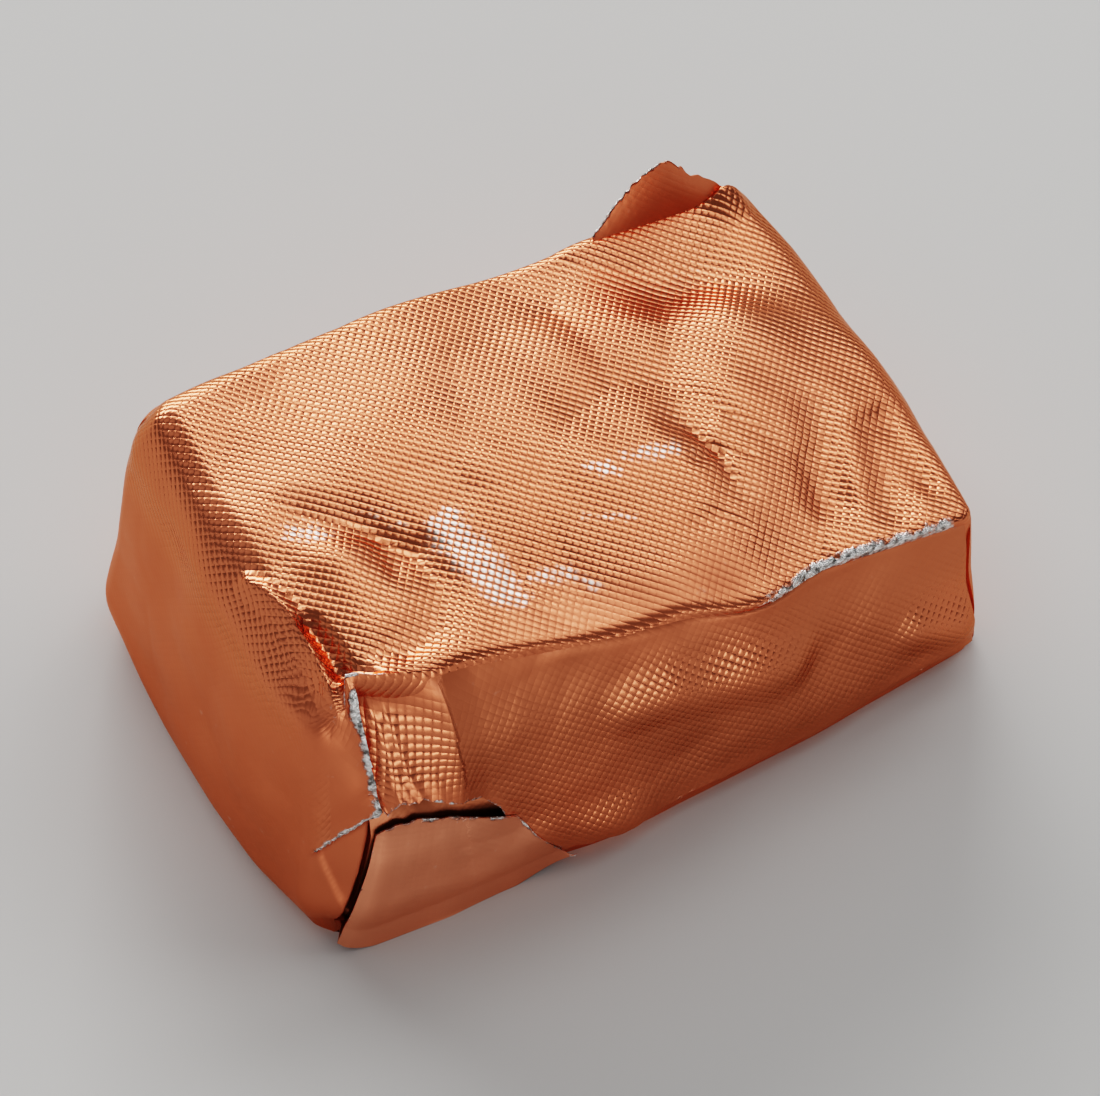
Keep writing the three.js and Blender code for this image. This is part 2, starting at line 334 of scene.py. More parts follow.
@dataclass(frozen=True)
class FoilForm:
    """The pack's plain form, in millimetres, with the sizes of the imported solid."""

    width: float = 38.8
    depth: float = 26.2
    mid_height: float = 14.3
    fall_right: float = 0.2
    rise_back: float = 0.06
    crown: float = 1.4
    crown_ease: float = 1.6
    draft_left: float = 0.13
    draft_right: float = 0.02
    draft_front: float = 0.16
    draft_back: float = 0.15
    bow_left: float = 0.6
    bow_right: float = 1.0
    bow_front: float = 1.0
    bow_back: float = 0.8
    side_swell: float = 0.3
    edge_radius: float = 1.4
    left_rim_radius: float = 2.6
    end_rim_radius: float = 0.8
    corner_radius: float = 3.2
    sink: float = 0.3
    crowding: float = 0.5
    lip_x: tuple[float, ...] = (-16.2, -15.75, -15.4, -14.0, -12.0, -9.0, -4.5, -1.0)
    lip_rise: tuple[float, ...] = (0.2, 0.6, 2.4, 1.75, 1.35, 0.85, 0.3, 0.0)
    lip_behind: tuple[float, ...] = (2.6, 2.6, 2.4, 2.2, 3.0, 4.0, 4.0, 4.0)
    lip_below: float = 3.5
    lip_lean: float = 0.35
    lip_ease: tuple[float, float] = (0.12, 0.05)
    lip_power: float = 1.6
    ridge_bulges: tuple[tuple[float, float, float], ...] = ((-1.0, 11.0, 0.28), (6.2, 4.5, 0.8))
    ridge_rounds: int = 4
    shift_x: float = -0.454
    shift_y: float = 0.098

    def crowd(self, cube: Array) -> Array:
        """Moves even cells of the cube closer together towards its edges."""
        return mix(cube, np.sin(cube * math.pi / 2.0), self.crowding)

    def round_edges(self, cube: Array) -> Array:
        """Rounds the edges of the cube to true radii.

        Args:
            cube: Places on the surface of the cube from -1 to 1.

        Returns:
            The same places on the rounded cube.
        """
        half = np.array([self.width, self.depth, self.mid_height]) / 2.0
        near_top = smooth(cube[:, 2], 0.0, 1.0)
        near_left = smooth(-cube[:, 0], 0.0, 1.0)
        near_end = smooth(np.abs(cube[:, 1]), 0.4, 1.0)
        left = mix(self.edge_radius, self.left_rim_radius, near_top * near_left)
        rim = mix(left, self.end_rim_radius, near_top * near_end * (1.0 - near_left))
        radius = mix(rim, self.corner_radius, near_left * near_end * (1.0 - near_top))[:, None]
        full = cube * half
        inset = half - radius
        core = np.clip(full, -inset, inset)
        edge = full - core
        length = np.maximum(np.linalg.norm(edge, axis=1, keepdims=True), 1e-9)
        return (core + edge / length * radius) / half

    def shape(self, unit: Array) -> Array:
        """Leans, slopes and crowns the rounded cube.

        Args:
            unit: Places on the rounded cube.

        Returns:
            Places on the pack, in millimetres.
        """
        climb = (unit[:, 2] + 1.0) / 2.0
        across_x = 1.0 - unit[:, 0] ** 2
        across_y = np.maximum(0.0, 1.0 - unit[:, 1] ** 2)
        foot_x = unit[:, 0] * self.width / 2.0
        foot_y = unit[:, 1] * self.depth / 2.0
        top = (self.mid_height - self.fall_right * foot_x + self.rise_back * foot_y
               + self.crown * across_x * across_y**self.crown_ease)
        z = climb * (top + self.sink) - self.sink
        left, front = unit[:, 0] < 0.0, unit[:, 1] < 0.0
        bow_x = np.where(left, self.bow_left, self.bow_right)
        bow_y = np.where(front, self.bow_front, self.bow_back)
        draft_x = np.where(left, self.draft_left, self.draft_right)
        draft_y = np.where(front, self.draft_front, self.draft_back)
        swell = self.side_swell * np.sin(math.pi * climb)
        x = foot_x + unit[:, 0] * ((swell + bow_x) * across_y - draft_x * z)
        y = foot_y + unit[:, 1] * ((swell + bow_y * (1.0 - climb)) * across_x - draft_y * z)
        return np.stack([x, y - self.ridge_bulge(unit, climb), z], axis=1)

    def ridge_bulge(self, unit: Array, climb: Array) -> Array:
        """How far the front ridge stands out at each place.

        Args:
            unit: Places on the rounded cube.
            climb: Share of the height of each.

        Returns:
            One distance for each place.
        """
        out = np.zeros(len(unit))
        for place, reach, most in self.ridge_bulges:
            near = np.maximum(0.0, 1.0 - np.abs(unit[:, 0] * self.width / 2.0 - place) / reach)
            out += most * near * near * (3.0 - 2.0 * near)
        return out * climb**2 * np.clip(-2.0 * unit[:, 1] - 1.0, 0.0, 1.0)

    def plain(self, cube: Array) -> Array:
        """The pack's plain surface over places on the cube."""
        return self.shape(self.round_edges(cube))

    def side_draft(self, x: Array | float) -> Array:
        """How far the side leans in for each millimetre of height, for places towards that side."""
        return np.where(x < 0.0, self.draft_left, self.draft_right)

    def rim_height(self, across: Array, face: Face) -> Array:
        """Height of an end's plain rim, at shares of the way from its middle to its sides."""
        fall = self.fall_right * across * self.width / 2.0
        return self.mid_height - fall + self.rise_back * face.sign * self.depth / 2.0

    def ridge_height(self, x: Array, face: Face) -> Array:
        """Height of an end's ridge over places across the end.

        Args:
            x: Places across the end.
            face: The front or the back face.

        Returns:
            One height for each place.
        """
        draft = self.side_draft(x)
        height = np.full_like(x, self.mid_height)
        for _ in range(self.ridge_rounds):
            height = self.rim_height(x / (self.width / 2.0 - draft * height), face)
        return height

    def end_cube(self, x: Array, z: Array, face: Face) -> Array:
        """Places on the cube that lie at a given X and height on one end of the pack.

        Args:
            x: Places across the end.
            z: Heights over the table.
            face: The front or the back face.

        Returns:
            Places on the cube, one row each.
        """
        across = x / (self.width / 2.0 - self.side_draft(x) * z)
        top = self.rim_height(across, face)
        climb = (z + self.sink) / (top + self.sink)
        cube = np.stack([across, np.full_like(across, face.sign), 2.0 * climb - 1.0], axis=1)
        return np.clip(cube, -1.0, 1.0)

    def rim(self, cube: Array, face: Face) -> Array:
        """The places on the top's rim straight over places on a side.

        Args:
            cube: Places on the cube.
            face: The side that they lie on.

        Returns:
            Places on the pack, in millimetres.
        """
        over = cube.copy()
        over[:, 2] = 1.0
        over[:, face.axis] = face.sign
        return self.plain(over)

    def unroll(self, cube: Array, points: Array, face: Face) -> Array:
        """Lays a face out flat beside the top, as the sheet was before it was folded.

        Args:
            cube: Places on the cube.
            points: The same places on the pack, in millimetres.
            face: The face that they lie on.

        Returns:
            Two numbers for each place, in millimetres on the flat sheet.
        """
        if face is Face.TOP:
            return points[:, :2].copy()
        rim = self.rim(cube, face)
        flat = points[:, :2].copy()
        flat[:, face.axis] = rim[:, face.axis] + face.sign * (rim[:, 2] - points[:, 2])
        return flat

    def raise_lip(self, cube: Array, plain: Array) -> Array:
        """How the pinched lip at the thick end of the front ridge moves places on the top and the front.

        Args:
            cube: Places on the cube.
            plain: The same places on the plain surface, in millimetres.

        Returns:
            One move for each place, up and a little back.
        """
        x = plain[:, 0]
        start = self.lip_x[0]
        crown = np.interp(x, self.lip_x, self.lip_rise)
        crown *= smooth(x, start - self.lip_ease[0], start + self.lip_ease[1])
        gap = np.linalg.norm((plain - self.rim(cube, Face.FRONT))[:, 1:], axis=1)
        reach = np.interp(x, self.lip_x, self.lip_behind)
        behind = np.maximum(0.0, 1.0 - gap / reach) ** self.lip_power
        below = np.maximum(0.0, 1.0 - gap / self.lip_below) ** 2
        front = (cube[:, 1] < -ON_FACE) & (cube[:, 2] < ON_FACE)
        lift = crown * np.where(front, below, behind) * (cube[:, 1] < 0.0)
        return lift[:, None] * np.array([0.0, self.lip_lean, 1.0])

    def to_frame(self, points: Array) -> Array:
        """Places in metres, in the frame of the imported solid."""
        return (points + np.array([self.shift_x, self.shift_y, 0.0])) * MM


@dataclass(frozen=True)
class Ripple:
    """Gentle seeded unevenness of the sheet between its folds."""

    seed: int
    waves: int = 9
    shortest: float = 3.2
    longest: float = 11.0
    slope: float = 0.022
    power: float = 0.8

    def height(self, flat: Array) -> Array:
        """Height of the ripple over places on the flat sheet.

        Args:
            flat: Places in millimetres, two numbers each.

        Returns:
            One height for each place.
        """
        random = np.random.default_rng(self.seed)
        total = np.zeros(len(flat))
        for _ in range(self.waves):
            turn = random.uniform(0.0, 2.0 * math.pi)
            length = random.uniform(self.shortest, self.longest)
            phase = random.uniform(0.0, 2.0 * math.pi)
            rate = 2.0 * math.pi / length
            wave = np.sin(rate * (flat @ np.array([math.cos(turn), math.sin(turn)])) + phase)
            total += self.slope / rate * np.sign(wave) * np.abs(wave) ** self.power
        return total


@dataclass(frozen=True)
class Crumple:
    """Facets of crumpled foil: shallow tilted domes that meet in sharp lines."""

    seed: int
    spacing: float = 2.7
    tilt: float = 0.045
    curve: float = 0.009
    level: float = 0.04
    low: tuple[float, float] = (-20.0, -15.0)
    high: tuple[float, float] = (20.0, 20.0)

    def height(self, flat: Array) -> Array:
        """Height of the facets over places on the flat sheet.

        Args:
            flat: Places in millimetres, two numbers each.

        Returns:
            One height for each place.
        """
        random = np.random.default_rng(self.seed)
        low, high = np.array(self.low), np.array(self.high)
        count = int(np.prod((high - low) / self.spacing))
        places = random.uniform(low, high, (count, 2))
        tilts = random.normal(0.0, self.tilt, (count, 2))
        tallest = np.full(len(flat), -np.inf)
        for place, tilt in zip(places, tilts):
            away = flat - place
            tallest = np.maximum(tallest, away @ tilt - self.curve * (away**2).sum(axis=1))
        return tallest - self.level


def unevenness(face: Face, points: Array) -> Array:
    """Height of a face's ripple and facets at places on the pack, fading to nothing at the foot.

    Args:
        face: The face.
        points: Places on the plain surface, in millimetres.

    Returns:
        One height for each place.
    """
    number = list(Face).index(face)
    flat = points[:, face.flat]
    ripple = Ripple(seed=RIPPLE_SEED + number).height(flat)
    facets = Crumple(seed=CRUMPLE_SEED + number, tilt=face.crumple).height(flat)
    return (ripple + facets) * smooth(points[:, 2], *FOOT_FADE)


def deselect_all() -> None:
    """Leaves nothing selected, so that an operator acts on its own piece alone."""
    bpy.ops.object.select_all(action="DESELECT")


@contextmanager
def edit_mode(piece: bpy.types.Object) -> Iterator[None]:
    """Edits a piece with all of its mesh selected, and goes back to object mode."""
    bpy.context.view_layer.objects.active = piece
    bpy.ops.object.mode_set(mode="EDIT")
    bpy.ops.mesh.select_all(action="SELECT")
    yield
    bpy.ops.object.mode_set(mode="OBJECT")


def add_grid(name: str, across: int, along: int) -> bpy.types.Object:
    """Adds a flat grid from -1 to 1 as the start of a sheet of foil.

    Args:
        name: Name of the piece.
        across: Cells along X.
        along: Cells along Y.

    Returns:
        The new piece.
    """
    deselect_all()
    bpy.ops.mesh.primitive_grid_add(x_subdivisions=across, y_subdivisions=along, size=2.0)
    sheet = bpy.context.object
    sheet.name = name
    sheet.data.name = name
    return sheet


def mesh_points(piece: bpy.types.Object) -> Array:
    """The places of a piece's vertices, one row each."""
    flat = np.empty(3 * len(piece.data.vertices))
    piece.data.vertices.foreach_get("co", flat)
    return flat.reshape(-1, 3)


def set_mesh_points(piece: bpy.types.Object, points: Array) -> None:
    """Moves a piece's vertices to new places."""
    piece.data.vertices.foreach_set("co", points.ravel())
    piece.data.update()


def mesh_normals(piece: bpy.types.Object) -> Array:
    """The directions that a piece's vertices face, one row each."""
    flat = np.empty(3 * len(piece.data.vertices), np.float32)
    piece.data.vertex_normals.foreach_get("vector", flat)
    return flat.reshape(-1, 3).astype(float)


def loop_vertices(piece: bpy.types.Object) -> Array:
    """The vertex number of each face corner."""
    corners = np.empty(len(piece.data.loops), np.int64)
    piece.data.loops.foreach_get("vertex_index", corners)
    return corners


def store_value(piece: bpy.types.Object, name: str, values: Array) -> None:
    """Stores one number for each vertex, for the finish to read."""
    attribute = piece.data.attributes.new(name, "FLOAT", "POINT")
    attribute.data.foreach_set("value", values.astype(np.float32))


def store_sheet(piece: bpy.types.Object, flat: Array) -> None:
    """Stores the flat sheet's place of each face corner as the piece's UV map."""
    layers = piece.data.uv_layers
    layer = layers[0] if layers else layers.new(name="sheet")
    layer.name = "sheet"
    layer.uv.foreach_set("vector", flat.astype(np.float32).ravel())


def apply_modifier(piece: bpy.types.Object, kind: str, **settings: float | bool | str) -> None:
    """Adds a modifier to a piece and applies it.

    Args:
        piece: The piece to change.
        kind: The modifier's type.
        **settings: Values of the modifier's own settings.
    """
    deselect_all()
    piece.select_set(True)
    bpy.context.view_layer.objects.active = piece
    modifier = piece.modifiers.new(kind.title(), kind)
    for key, value in settings.items():
        setattr(modifier, key, value)
    bpy.ops.object.modifier_apply(modifier=modifier.name)


def arc_lengths(grid: Array, axis: int) -> Array:
    """Lengths along the lines of a grid of places, from the middle of each line.

    Args:
        grid: Places in rows and columns.
        axis: Whether the lines run from row to row or from column to column.

    Returns:
        One length for each place.
    """
    steps = np.linalg.norm(np.diff(grid, axis=axis), axis=2)
    total = np.cumsum(np.insert(steps, 0, 0.0, axis=axis), axis=axis)
    return total - np.take(total, [total.shape[axis] // 2], axis=axis)


def on_grid(points: Array, rows: Array, columns: Array, chosen: Array) -> Array:
    """Lays chosen places out in rows and columns.

    Args:
        points: All places.
        rows: The row of each.
        columns: The column of each.
        chosen: Which of them are laid out.

    Returns:
        The chosen places, as a grid.
    """
    grid = np.zeros((rows[chosen].max() + 1, columns[chosen].max() + 1, 3))
    grid[rows[chosen], columns[chosen]] = points[chosen]
    return grid


def smooth_shade(piece: bpy.types.Object, degrees: float) -> None:
    """Shades a piece smooth, with edges over the given angle kept sharp."""
    deselect_all()
    piece.select_set(True)
    bpy.context.view_layer.objects.active = piece
    bpy.ops.object.shade_smooth_by_angle(angle=math.radians(degrees))


def press(points: Array, normals: Array, creases: Sequence[Crease]) -> Array:
    """Presses fold lines into a surface.

    Args:
        points: Places on the plain surface, in millimetres.
        normals: The directions that they face.
        creases: The fold lines.

    Returns:
        The moved places.
    """
    moved = points.copy()
    for crease in creases:
        axis, sign = crease.face.axis, crease.face.sign
        facing = np.maximum(0.0, normals[:, axis] * sign)
        moved[:, axis] += sign * facing * crease.lift(points)
    return moved


def crease_wear(points: Array, normals: Array, creases: Sequence[Crease], width: float) -> Array:
    """How far fold lines are rubbed to silver at each place.

    Args:
        points: Places on the plain surface, in millimetres.
        normals: The directions that they face.
        creases: The fold lines.
        width: Half the width of a worn line.

    Returns:
        One number from 0 to 1 for each place.
    """
    worn = np.zeros(len(points))
    for crease in creases:
        if crease.wear > 0.0:
            facing = normals[:, crease.face.axis] * crease.face.sign > -0.2
            worn = np.maximum(worn, crease.wear * bell(crease.gap(points), width) * facing)
    return worn


@dataclass(frozen=True)
class EndSizes:
    """Sizes of the fold at one end, in millimetres, drawn for the front.

    The long side's sheet wraps round the corner and ends in a free edge. The flap comes out from behind
    that edge, sunk behind it, and hangs down to its hem. The ear comes up from the foot. The edge, the hem
    and the ear's top are each given by a few places.
    """

    face: Face
    edge_x: tuple[float, ...] = (-18.05, -15.75, -15.5, -15.15, -15.15, -15.4, -15.4)
    edge_z: tuple[float, ...] = (0.0, 8.0, 9.3, 9.9, 12.2, 15.9, 20.0)
    hem_x: tuple[float, ...] = (-15.9, -15.1, -14.4, -12.4, -9.9, -9.0, -8.2, -6.0, 18.6)
    hem_z: tuple[float, ...] = (9.2, 10.0, 10.7, 9.8, 7.8, 6.6, 4.6, 1.6, 1.1)
    flare_x: tuple[float, ...] = (-15.9, -15.0, -14.4, -12.4, -11.4, -9.6)
    flare_out: tuple[float, ...] = (0.2, 0.5, 0.75, 0.75, 0.5, 0.0)
    ear_x: tuple[float, ...] = (-15.55, -14.5, -13.2, -10.9, -9.6, -8.3, -7.5, -6.2, -5.6)
    ear_z: tuple[float, ...] = (7.9, 8.25, 7.9, 6.75, 6.2, 5.55, 3.75, 1.5, 0.6)
    ledge: float = 9.9
    sunk: float = 1.7
    panel: float = 4.5
    panel_turn: float = -24.0
    seed: int = 3

    @property
    def mirror(self) -> float:
        """The back end is the front one turned half round."""
        return 1.0 if self.face is Face.FRONT else -1.0

    @property
    def corner(self) -> float:
        """Place of the free edge at the ridge."""
        return self.edge_x[-1]

    def edge_place(self, z: Array) -> Array:
        """Place of the corner sheet's free edge at each height."""
        return np.interp(z, self.edge_z, self.edge_x)

    def near_corner(self, x: Array) -> Array:
        """Falls from 1 at the corner to 0 where the flap's bright panel ends."""
        return np.clip(1.0 - (x - self.corner) / self.panel, 0.0, 1.0)

    def ear_height(self, x: Array) -> Array:
        """Height of the ear's top edge at places across the end."""
        return np.interp(x, self.ear_x, self.ear_z)

    def at_the_back(self, share: float, sunk: float, seed: int) -> EndSizes:
        """The same fold at the back, with its heights taken down to a share."""
        heights = ("edge_z", "hem_z", "ear_z")
        lower = {name: tuple(share * z for z in getattr(self, name)) for name in heights}
        return replace(self, face=Face.BACK, ledge=share * self.ledge, sunk=sunk, seed=seed, **lower)


FRONT_END = EndSizes(Face.FRONT)
BACK_END = FRONT_END.at_the_back(share=0.58, sunk=1.2, seed=5)
ENDS = (FRONT_END, BACK_END)


@dataclass(frozen=True)
class EndPlaces:
    """The body's vertices as one end sees them, in millimetres drawn for the front.

    Drop is the way down from the rim, and to_edge the way to the corner sheet's free edge. Hidden vertices
    lie behind the flap, wrapped ones on the corner sheet, and edge ones on its part on the end itself.
    """

    end: EndSizes
    x: Array
    y: Array
    z: Array
    drop: Array
    to_edge: Array
    hidden: Array
    wrapped: Array
    edge: Array


@dataclass
class Marks:
    """What the finish reads at each vertex, from 0 to 1: silver wear, smooth foil and the shade painted
    into the folds.
    """

    wear: Array
    bare: Array
    shade: Array

    def deepen(self, **marks: Array) -> None:
        """Raises the named marks wherever the given ones are stronger."""
        for name, values in marks.items():
            setattr(self, name, np.maximum(getattr(self, name), values))


@dataclass
class FoilBody:
    """The sheet round the sweet: the top, the two long sides, and what lies under the flaps of the ends.

    Sizes are in millimetres. Wear, shares and rings are shares of 1.
    """

    form: FoilForm
    cells_x: int = 200
    cells_y: int = 140
    cells_z: int = 70
    # The underside
    foot_rings: tuple[float, ...] = (0.95, 0.93)
    base_ring: float = 0.93
    base_lift: float = 0.22
    # What lies behind a flap: all of the end, the gap over the ear, the sunk panel and the ear's bed
    end_recess: float = 0.2
    gap_recess: float = 1.5
    gap_overlap: float = 0.3
    gap_rise: float = 2.0
    gap_fade: tuple[float, float] = (1.5, -0.3)
    gap_reach: float = 3.0
    sunk_clear: float = 0.1
    sunk_overlap: float = 0.4
    sunk_rise: float = 6.2
    ear_recess: float = 0.2
    ear_fade: tuple[float, float] = (-0.4, 0.2)
    rim_fade: float = 1.7
    foot_share: float = 0.25
    # Painted shade: behind a flap the colour is darkened low in the gap over the ear, fading out between
    # these places across the end
    dark_until: tuple[float, float] = (-9.0, -6.0)
    # The corner sheet's free edge: a rough bead above, a fold inwards below
    wrap_reach: float = 1.0
    bead: float = 0.24
    bead_width: float = 0.42
    bead_rough: tuple[float, float] = (0.1, 1.6)
    bead_steps: int = 64
    bead_span: float = 20.0
    bead_seed: int = 20
    bead_wear: float = 0.95
    bead_worn: float = 0.4
    fold_in: float = 0.9
    fold_widths: tuple[float, float] = (0.1, 0.24)
    # Width of the painted shade along the inward fold, as a share of the fold's width
    fold_dark: float = 0.7
    # The ledge of the corner sheet, and the tucked triangle under it
    ledge: float = 0.24
    ledge_slope: float = 1.0
    ledge_run: float = 3.6
    ledge_fade: tuple[float, float] = (2.5, 5.0)
    ledge_wear: float = 0.9
    ledge_worn: float = 0.36
    ledge_worn_at: float = 0.2
    tuck: float = 0.2
    # The front ridge's silver wear
    worn_from: float = 5.0
    worn_to: float = 18.4
    worn_width: float = 0.44
    ridge_wear: float = 0.85
    # Where the embossing is pressed flat
    smooth_from: float = 0.8
    smooth_to: float = 3.6
    smoothed: float = 0.88
    flat_band: tuple[float, float] = (-10.2, 1.7)
    flat_band_share: float = 0.45
    corner_fold: tuple[float, float, float] = (-17.2, -10.3, 14.6)
    corner_fold_reach: float = 2.6
    corner_fold_share: float = 0.9
    sharp_angle: float = 60.0

    def start_block(self) -> bpy.types.Object:
        """Draws the border of a grid down into four sides, and closes the underside.

        Returns:
            The body as a plain cube of many cells.
        """
        block = add_grid("foil_body", self.cells_x, self.cells_y)
        with edit_mode(block):
            bpy.ops.transform.translate(value=(0.0, 0.0, 1.0))
            bpy.ops.mesh.region_to_loop()
            bpy.ops.mesh.extrude_edges_move(TRANSFORM_OT_translate={"value": (0.0, 0.0, -2.0)})
            self.select_edges(block, upright=True)
            bpy.ops.mesh.subdivide(number_cuts=self.cells_z - 1)
            self.select_edges(block, upright=False)
            for shrink in self.foot_rings:
                bpy.ops.mesh.extrude_edges_move(TRANSFORM_OT_translate={"value": (0.0, 0.0, 0.0)})
                bpy.ops.transform.resize(value=(shrink, shrink, 1.0))
            bpy.ops.mesh.edge_face_add()
            bpy.ops.mesh.poke()
            bpy.ops.mesh.select_all(action="SELECT")
            bpy.ops.mesh.normals_make_consistent(inside=False)
        return block

    @staticmethod
    def select_edges(block: bpy.types.Object, upright: bool) -> None:
        """Selects the upright edges of the sides, or else the loop round the foot.

        Args:
            block: The body in edit mode.
            upright: Whether the upright edges are wanted.
        """
        bpy.ops.mesh.select_all(action="DESELECT")
        bpy.ops.mesh.select_mode(type="EDGE")
        mesh = bmesh.from_edit_mesh(block.data)
        for edge in mesh.edges:
            low, high = sorted(vertex.co.z for vertex in edge.verts)
            if upright:
                edge.select_set(high - low > 0.5)
            else:
                edge.select_set(high < -ON_FACE)
        bmesh.update_edit_mesh(block.data)

    @staticmethod
    def corner_faces(block: bpy.types.Object, cube: Array) -> dict[Face, Array]:
        """Sorts the face corners of the body by the face that they lie on.

        Args:
            block: The body.
            cube: Places of its vertices on the cube.

        Returns:
            For each face, which corners belong to it.
        """
        corners = loop_vertices(block)
        counts = np.empty(len(block.data.polygons), np.int64)
        block.data.polygons.foreach_get("loop_total", counts)
        owner = np.repeat(np.arange(len(counts)), counts)
        middle = np.zeros((len(counts), 3))
        np.add.at(middle, owner, cube[corners])
        middle /= counts[:, None]
        found: dict[Face, Array] = {}
        for face in Face:
            found[face] = (middle[:, face.axis] * face.sign > ON_FACE)[owner]
        return found

    def build(self) -> bpy.types.Object:
        """Models the body.

        Returns:
            The finished mesh in the frame, with its sheet map and its wear stored.
        """
        block = self.start_block()
        cells = np.clip(mesh_points(block), -1.0, 1.0)
        cube, behind = self.follow_edges(self.form.crowd(cells))
        plain = self.form.plain(cube)
        set_mesh_points(block, plain)
        normals = mesh_normals(block)
        points = press(plain, normals, SKIN_CREASES)
        points += normals * self.ripple(plain, normals)[:, None]
        points += self.form.raise_lip(cube, plain)
        marks = self.fold_corners(points, cube, plain, behind)
        self.settle(points, cube)
        set_mesh_points(block, self.form.to_frame(points))
        self.store_map(block, cells, points)
        wrapped = (np.abs(cube[:, 1]) > ON_FACE) & ~behind
        # Painted shade inside the folds and behind the flaps, stored for the finish
        store_value(block, "shade", marks.shade)
        store_value(block, "wear", self.worn_lines(marks.wear, cube, plain, normals))
        # Painted highlight: pale patches on the top, stored for the finish
        store_value(block, "painted_highlight", self.rubbed(plain, normals))
        store_value(block, "emboss", self.embossing(marks.bare, cube, plain, normals, wrapped))
        smooth_shade(block, self.sharp_angle)
        return block

    def settle(self, points: Array, cube: Array) -> None:
        """Sets the underside down flat, a little hollow in its middle.

        Args:
            points: Places of the vertices, which are moved.
            cube: Their places on the cube.
        """
        out = np.abs(cube[:, :2]).max(axis=1)
        under = (cube[:, 2] < -ON_FACE) & (out < ON_FACE)
        points[under, 2] = 0.0
        points[under & (out < self.base_ring), 2] = self.base_lift
        points[:, 2] = np.maximum(points[:, 2], 0.0)

    def follow_edges(self, cube: Array) -> tuple[Array, Array]:
        """Draws the cells of the ends along the free edges of the corner folds.

        Args:
            cube: Places of the vertices on the cube.

        Returns:
            The moved places, and for each vertex whether it lies behind a flap.
        """
        columns = self.form.crowd(np.linspace(-1.0, 1.0, self.cells_x + 1))
        moved = cube.copy()
        behind = np.zeros(len(cube), bool)
        for end in ENDS:
            mine = cube[:, 1] * end.face.sign > ON_FACE
            part = cube[mine]
            height = self.form.plain(part)[:, 2]
            rim = self.form.rim(part, end.face)[:, 2]
            free = self.form.end_cube(end.edge_place(height) * end.mirror, height, end.face)
            corner = np.array([end.corner * end.mirror])
            ridge = self.form.end_cube(corner, np.array([rim.mean()]), end.face)
            start = columns[np.abs(columns - ridge[0, 0] * end.mirror).argmin()]
            edge = mix(start, free[:, 0] * end.mirror, smooth(rim - height, 0.3, 2.0))
            across = part[:, 0] * end.mirror
            outer = -1.0 + (across + 1.0) * (edge + 1.0) / (start + 1.0)
            inner = edge + (across - start) * edge / start
            drawn = np.where(across <= start + 1e-9, outer, np.where(across < 0.0, inner, across))
            moved[mine, 0] = drawn * end.mirror
            behind[mine] = across > start + 1e-9
        return moved, behind

    def fold_corners(self, points: Array, cube: Array, plain: Array, behind: Array) -> Marks:
        """Sets the ends back behind their flaps, and shapes the corner sheets' free edges.

        Args:
            points: Places of the vertices, which are moved.
            cube: Their places on the cube.
            plain: Their places on the plain surface, in millimetres.
            behind: Whether each lies behind a flap.

        Returns:
            What the finish reads there.
        """
        marks = Marks(*np.zeros((3, len(points))))
        for end in ENDS:
            side = cube[:, 1] * end.face.sign
            x, z = plain[:, 0] * end.mirror, plain[:, 2]
            wrapped = (x < end.corner + self.wrap_reach) & ~behind & (side > 0.0) & (cube[:, 2] > -ON_FACE)
            on_end = side > ON_FACE
            places = EndPlaces(end, x, plain[:, 1] * end.face.sign, z,
                               drop=self.form.rim(cube, end.face)[:, 2] - z,
                               to_edge=np.maximum(0.0, end.edge_place(z) - x),
                               hidden=on_end & behind, wrapped=wrapped, edge=on_end & wrapped)
            self.recess(points, places, marks)
            self.bead_edge(points, places, marks)
            self.step_ledge(points, places, marks)
        return marks

    def recess(self, points: Array, places: EndPlaces, marks: Marks) -> None:
        """Sets an end back behind its flap, deepest in the gap over the ear.

        Args:
            points: Places of the vertices, which are moved.
            places: The same vertices as the end sees them.
            marks: What the finish reads, which is added to.
        """
        end, x, z = places.end, places.x, places.z
        over_ear = z - end.ear_height(x)
        gap = np.clip((over_ear + self.gap_overlap) / self.gap_rise, 0.0, 1.0)
        gap *= smooth(z, *(end.ledge + over for over in self.gap_fade))
        deep = self.end_recess + self.gap_recess * gap * end.near_corner(x - self.gap_reach)
        sunk = np.clip((z - end.ledge + self.sunk_overlap) / self.sunk_rise, 0.0, 1.0)
        deep += (end.sunk + self.sunk_clear) * end.near_corner(x) * sunk
        deep += self.ear_recess * smooth(-over_ear, *self.ear_fade)
        deep *= smooth(places.drop, 0.0, self.rim_fade) * mix(self.foot_share, 1.0, smooth(z, 0.0, 1.0))
        points[:, 1] -= end.face.sign * deep * places.hidden
        # Painted shade: the colour darkens behind the flap below the ledge, where shade falls in the gap
        # and the slit
        dark = smooth(end.ledge + 0.6 - z, 0.0, 0.4) * (1.0 - smooth(x, *self.dark_until))
        bare = smooth(end.ledge + 1.0 - z, 0.0, 0.5)
        marks.deepen(bare=bare * places.hidden, shade=dark * places.hidden)

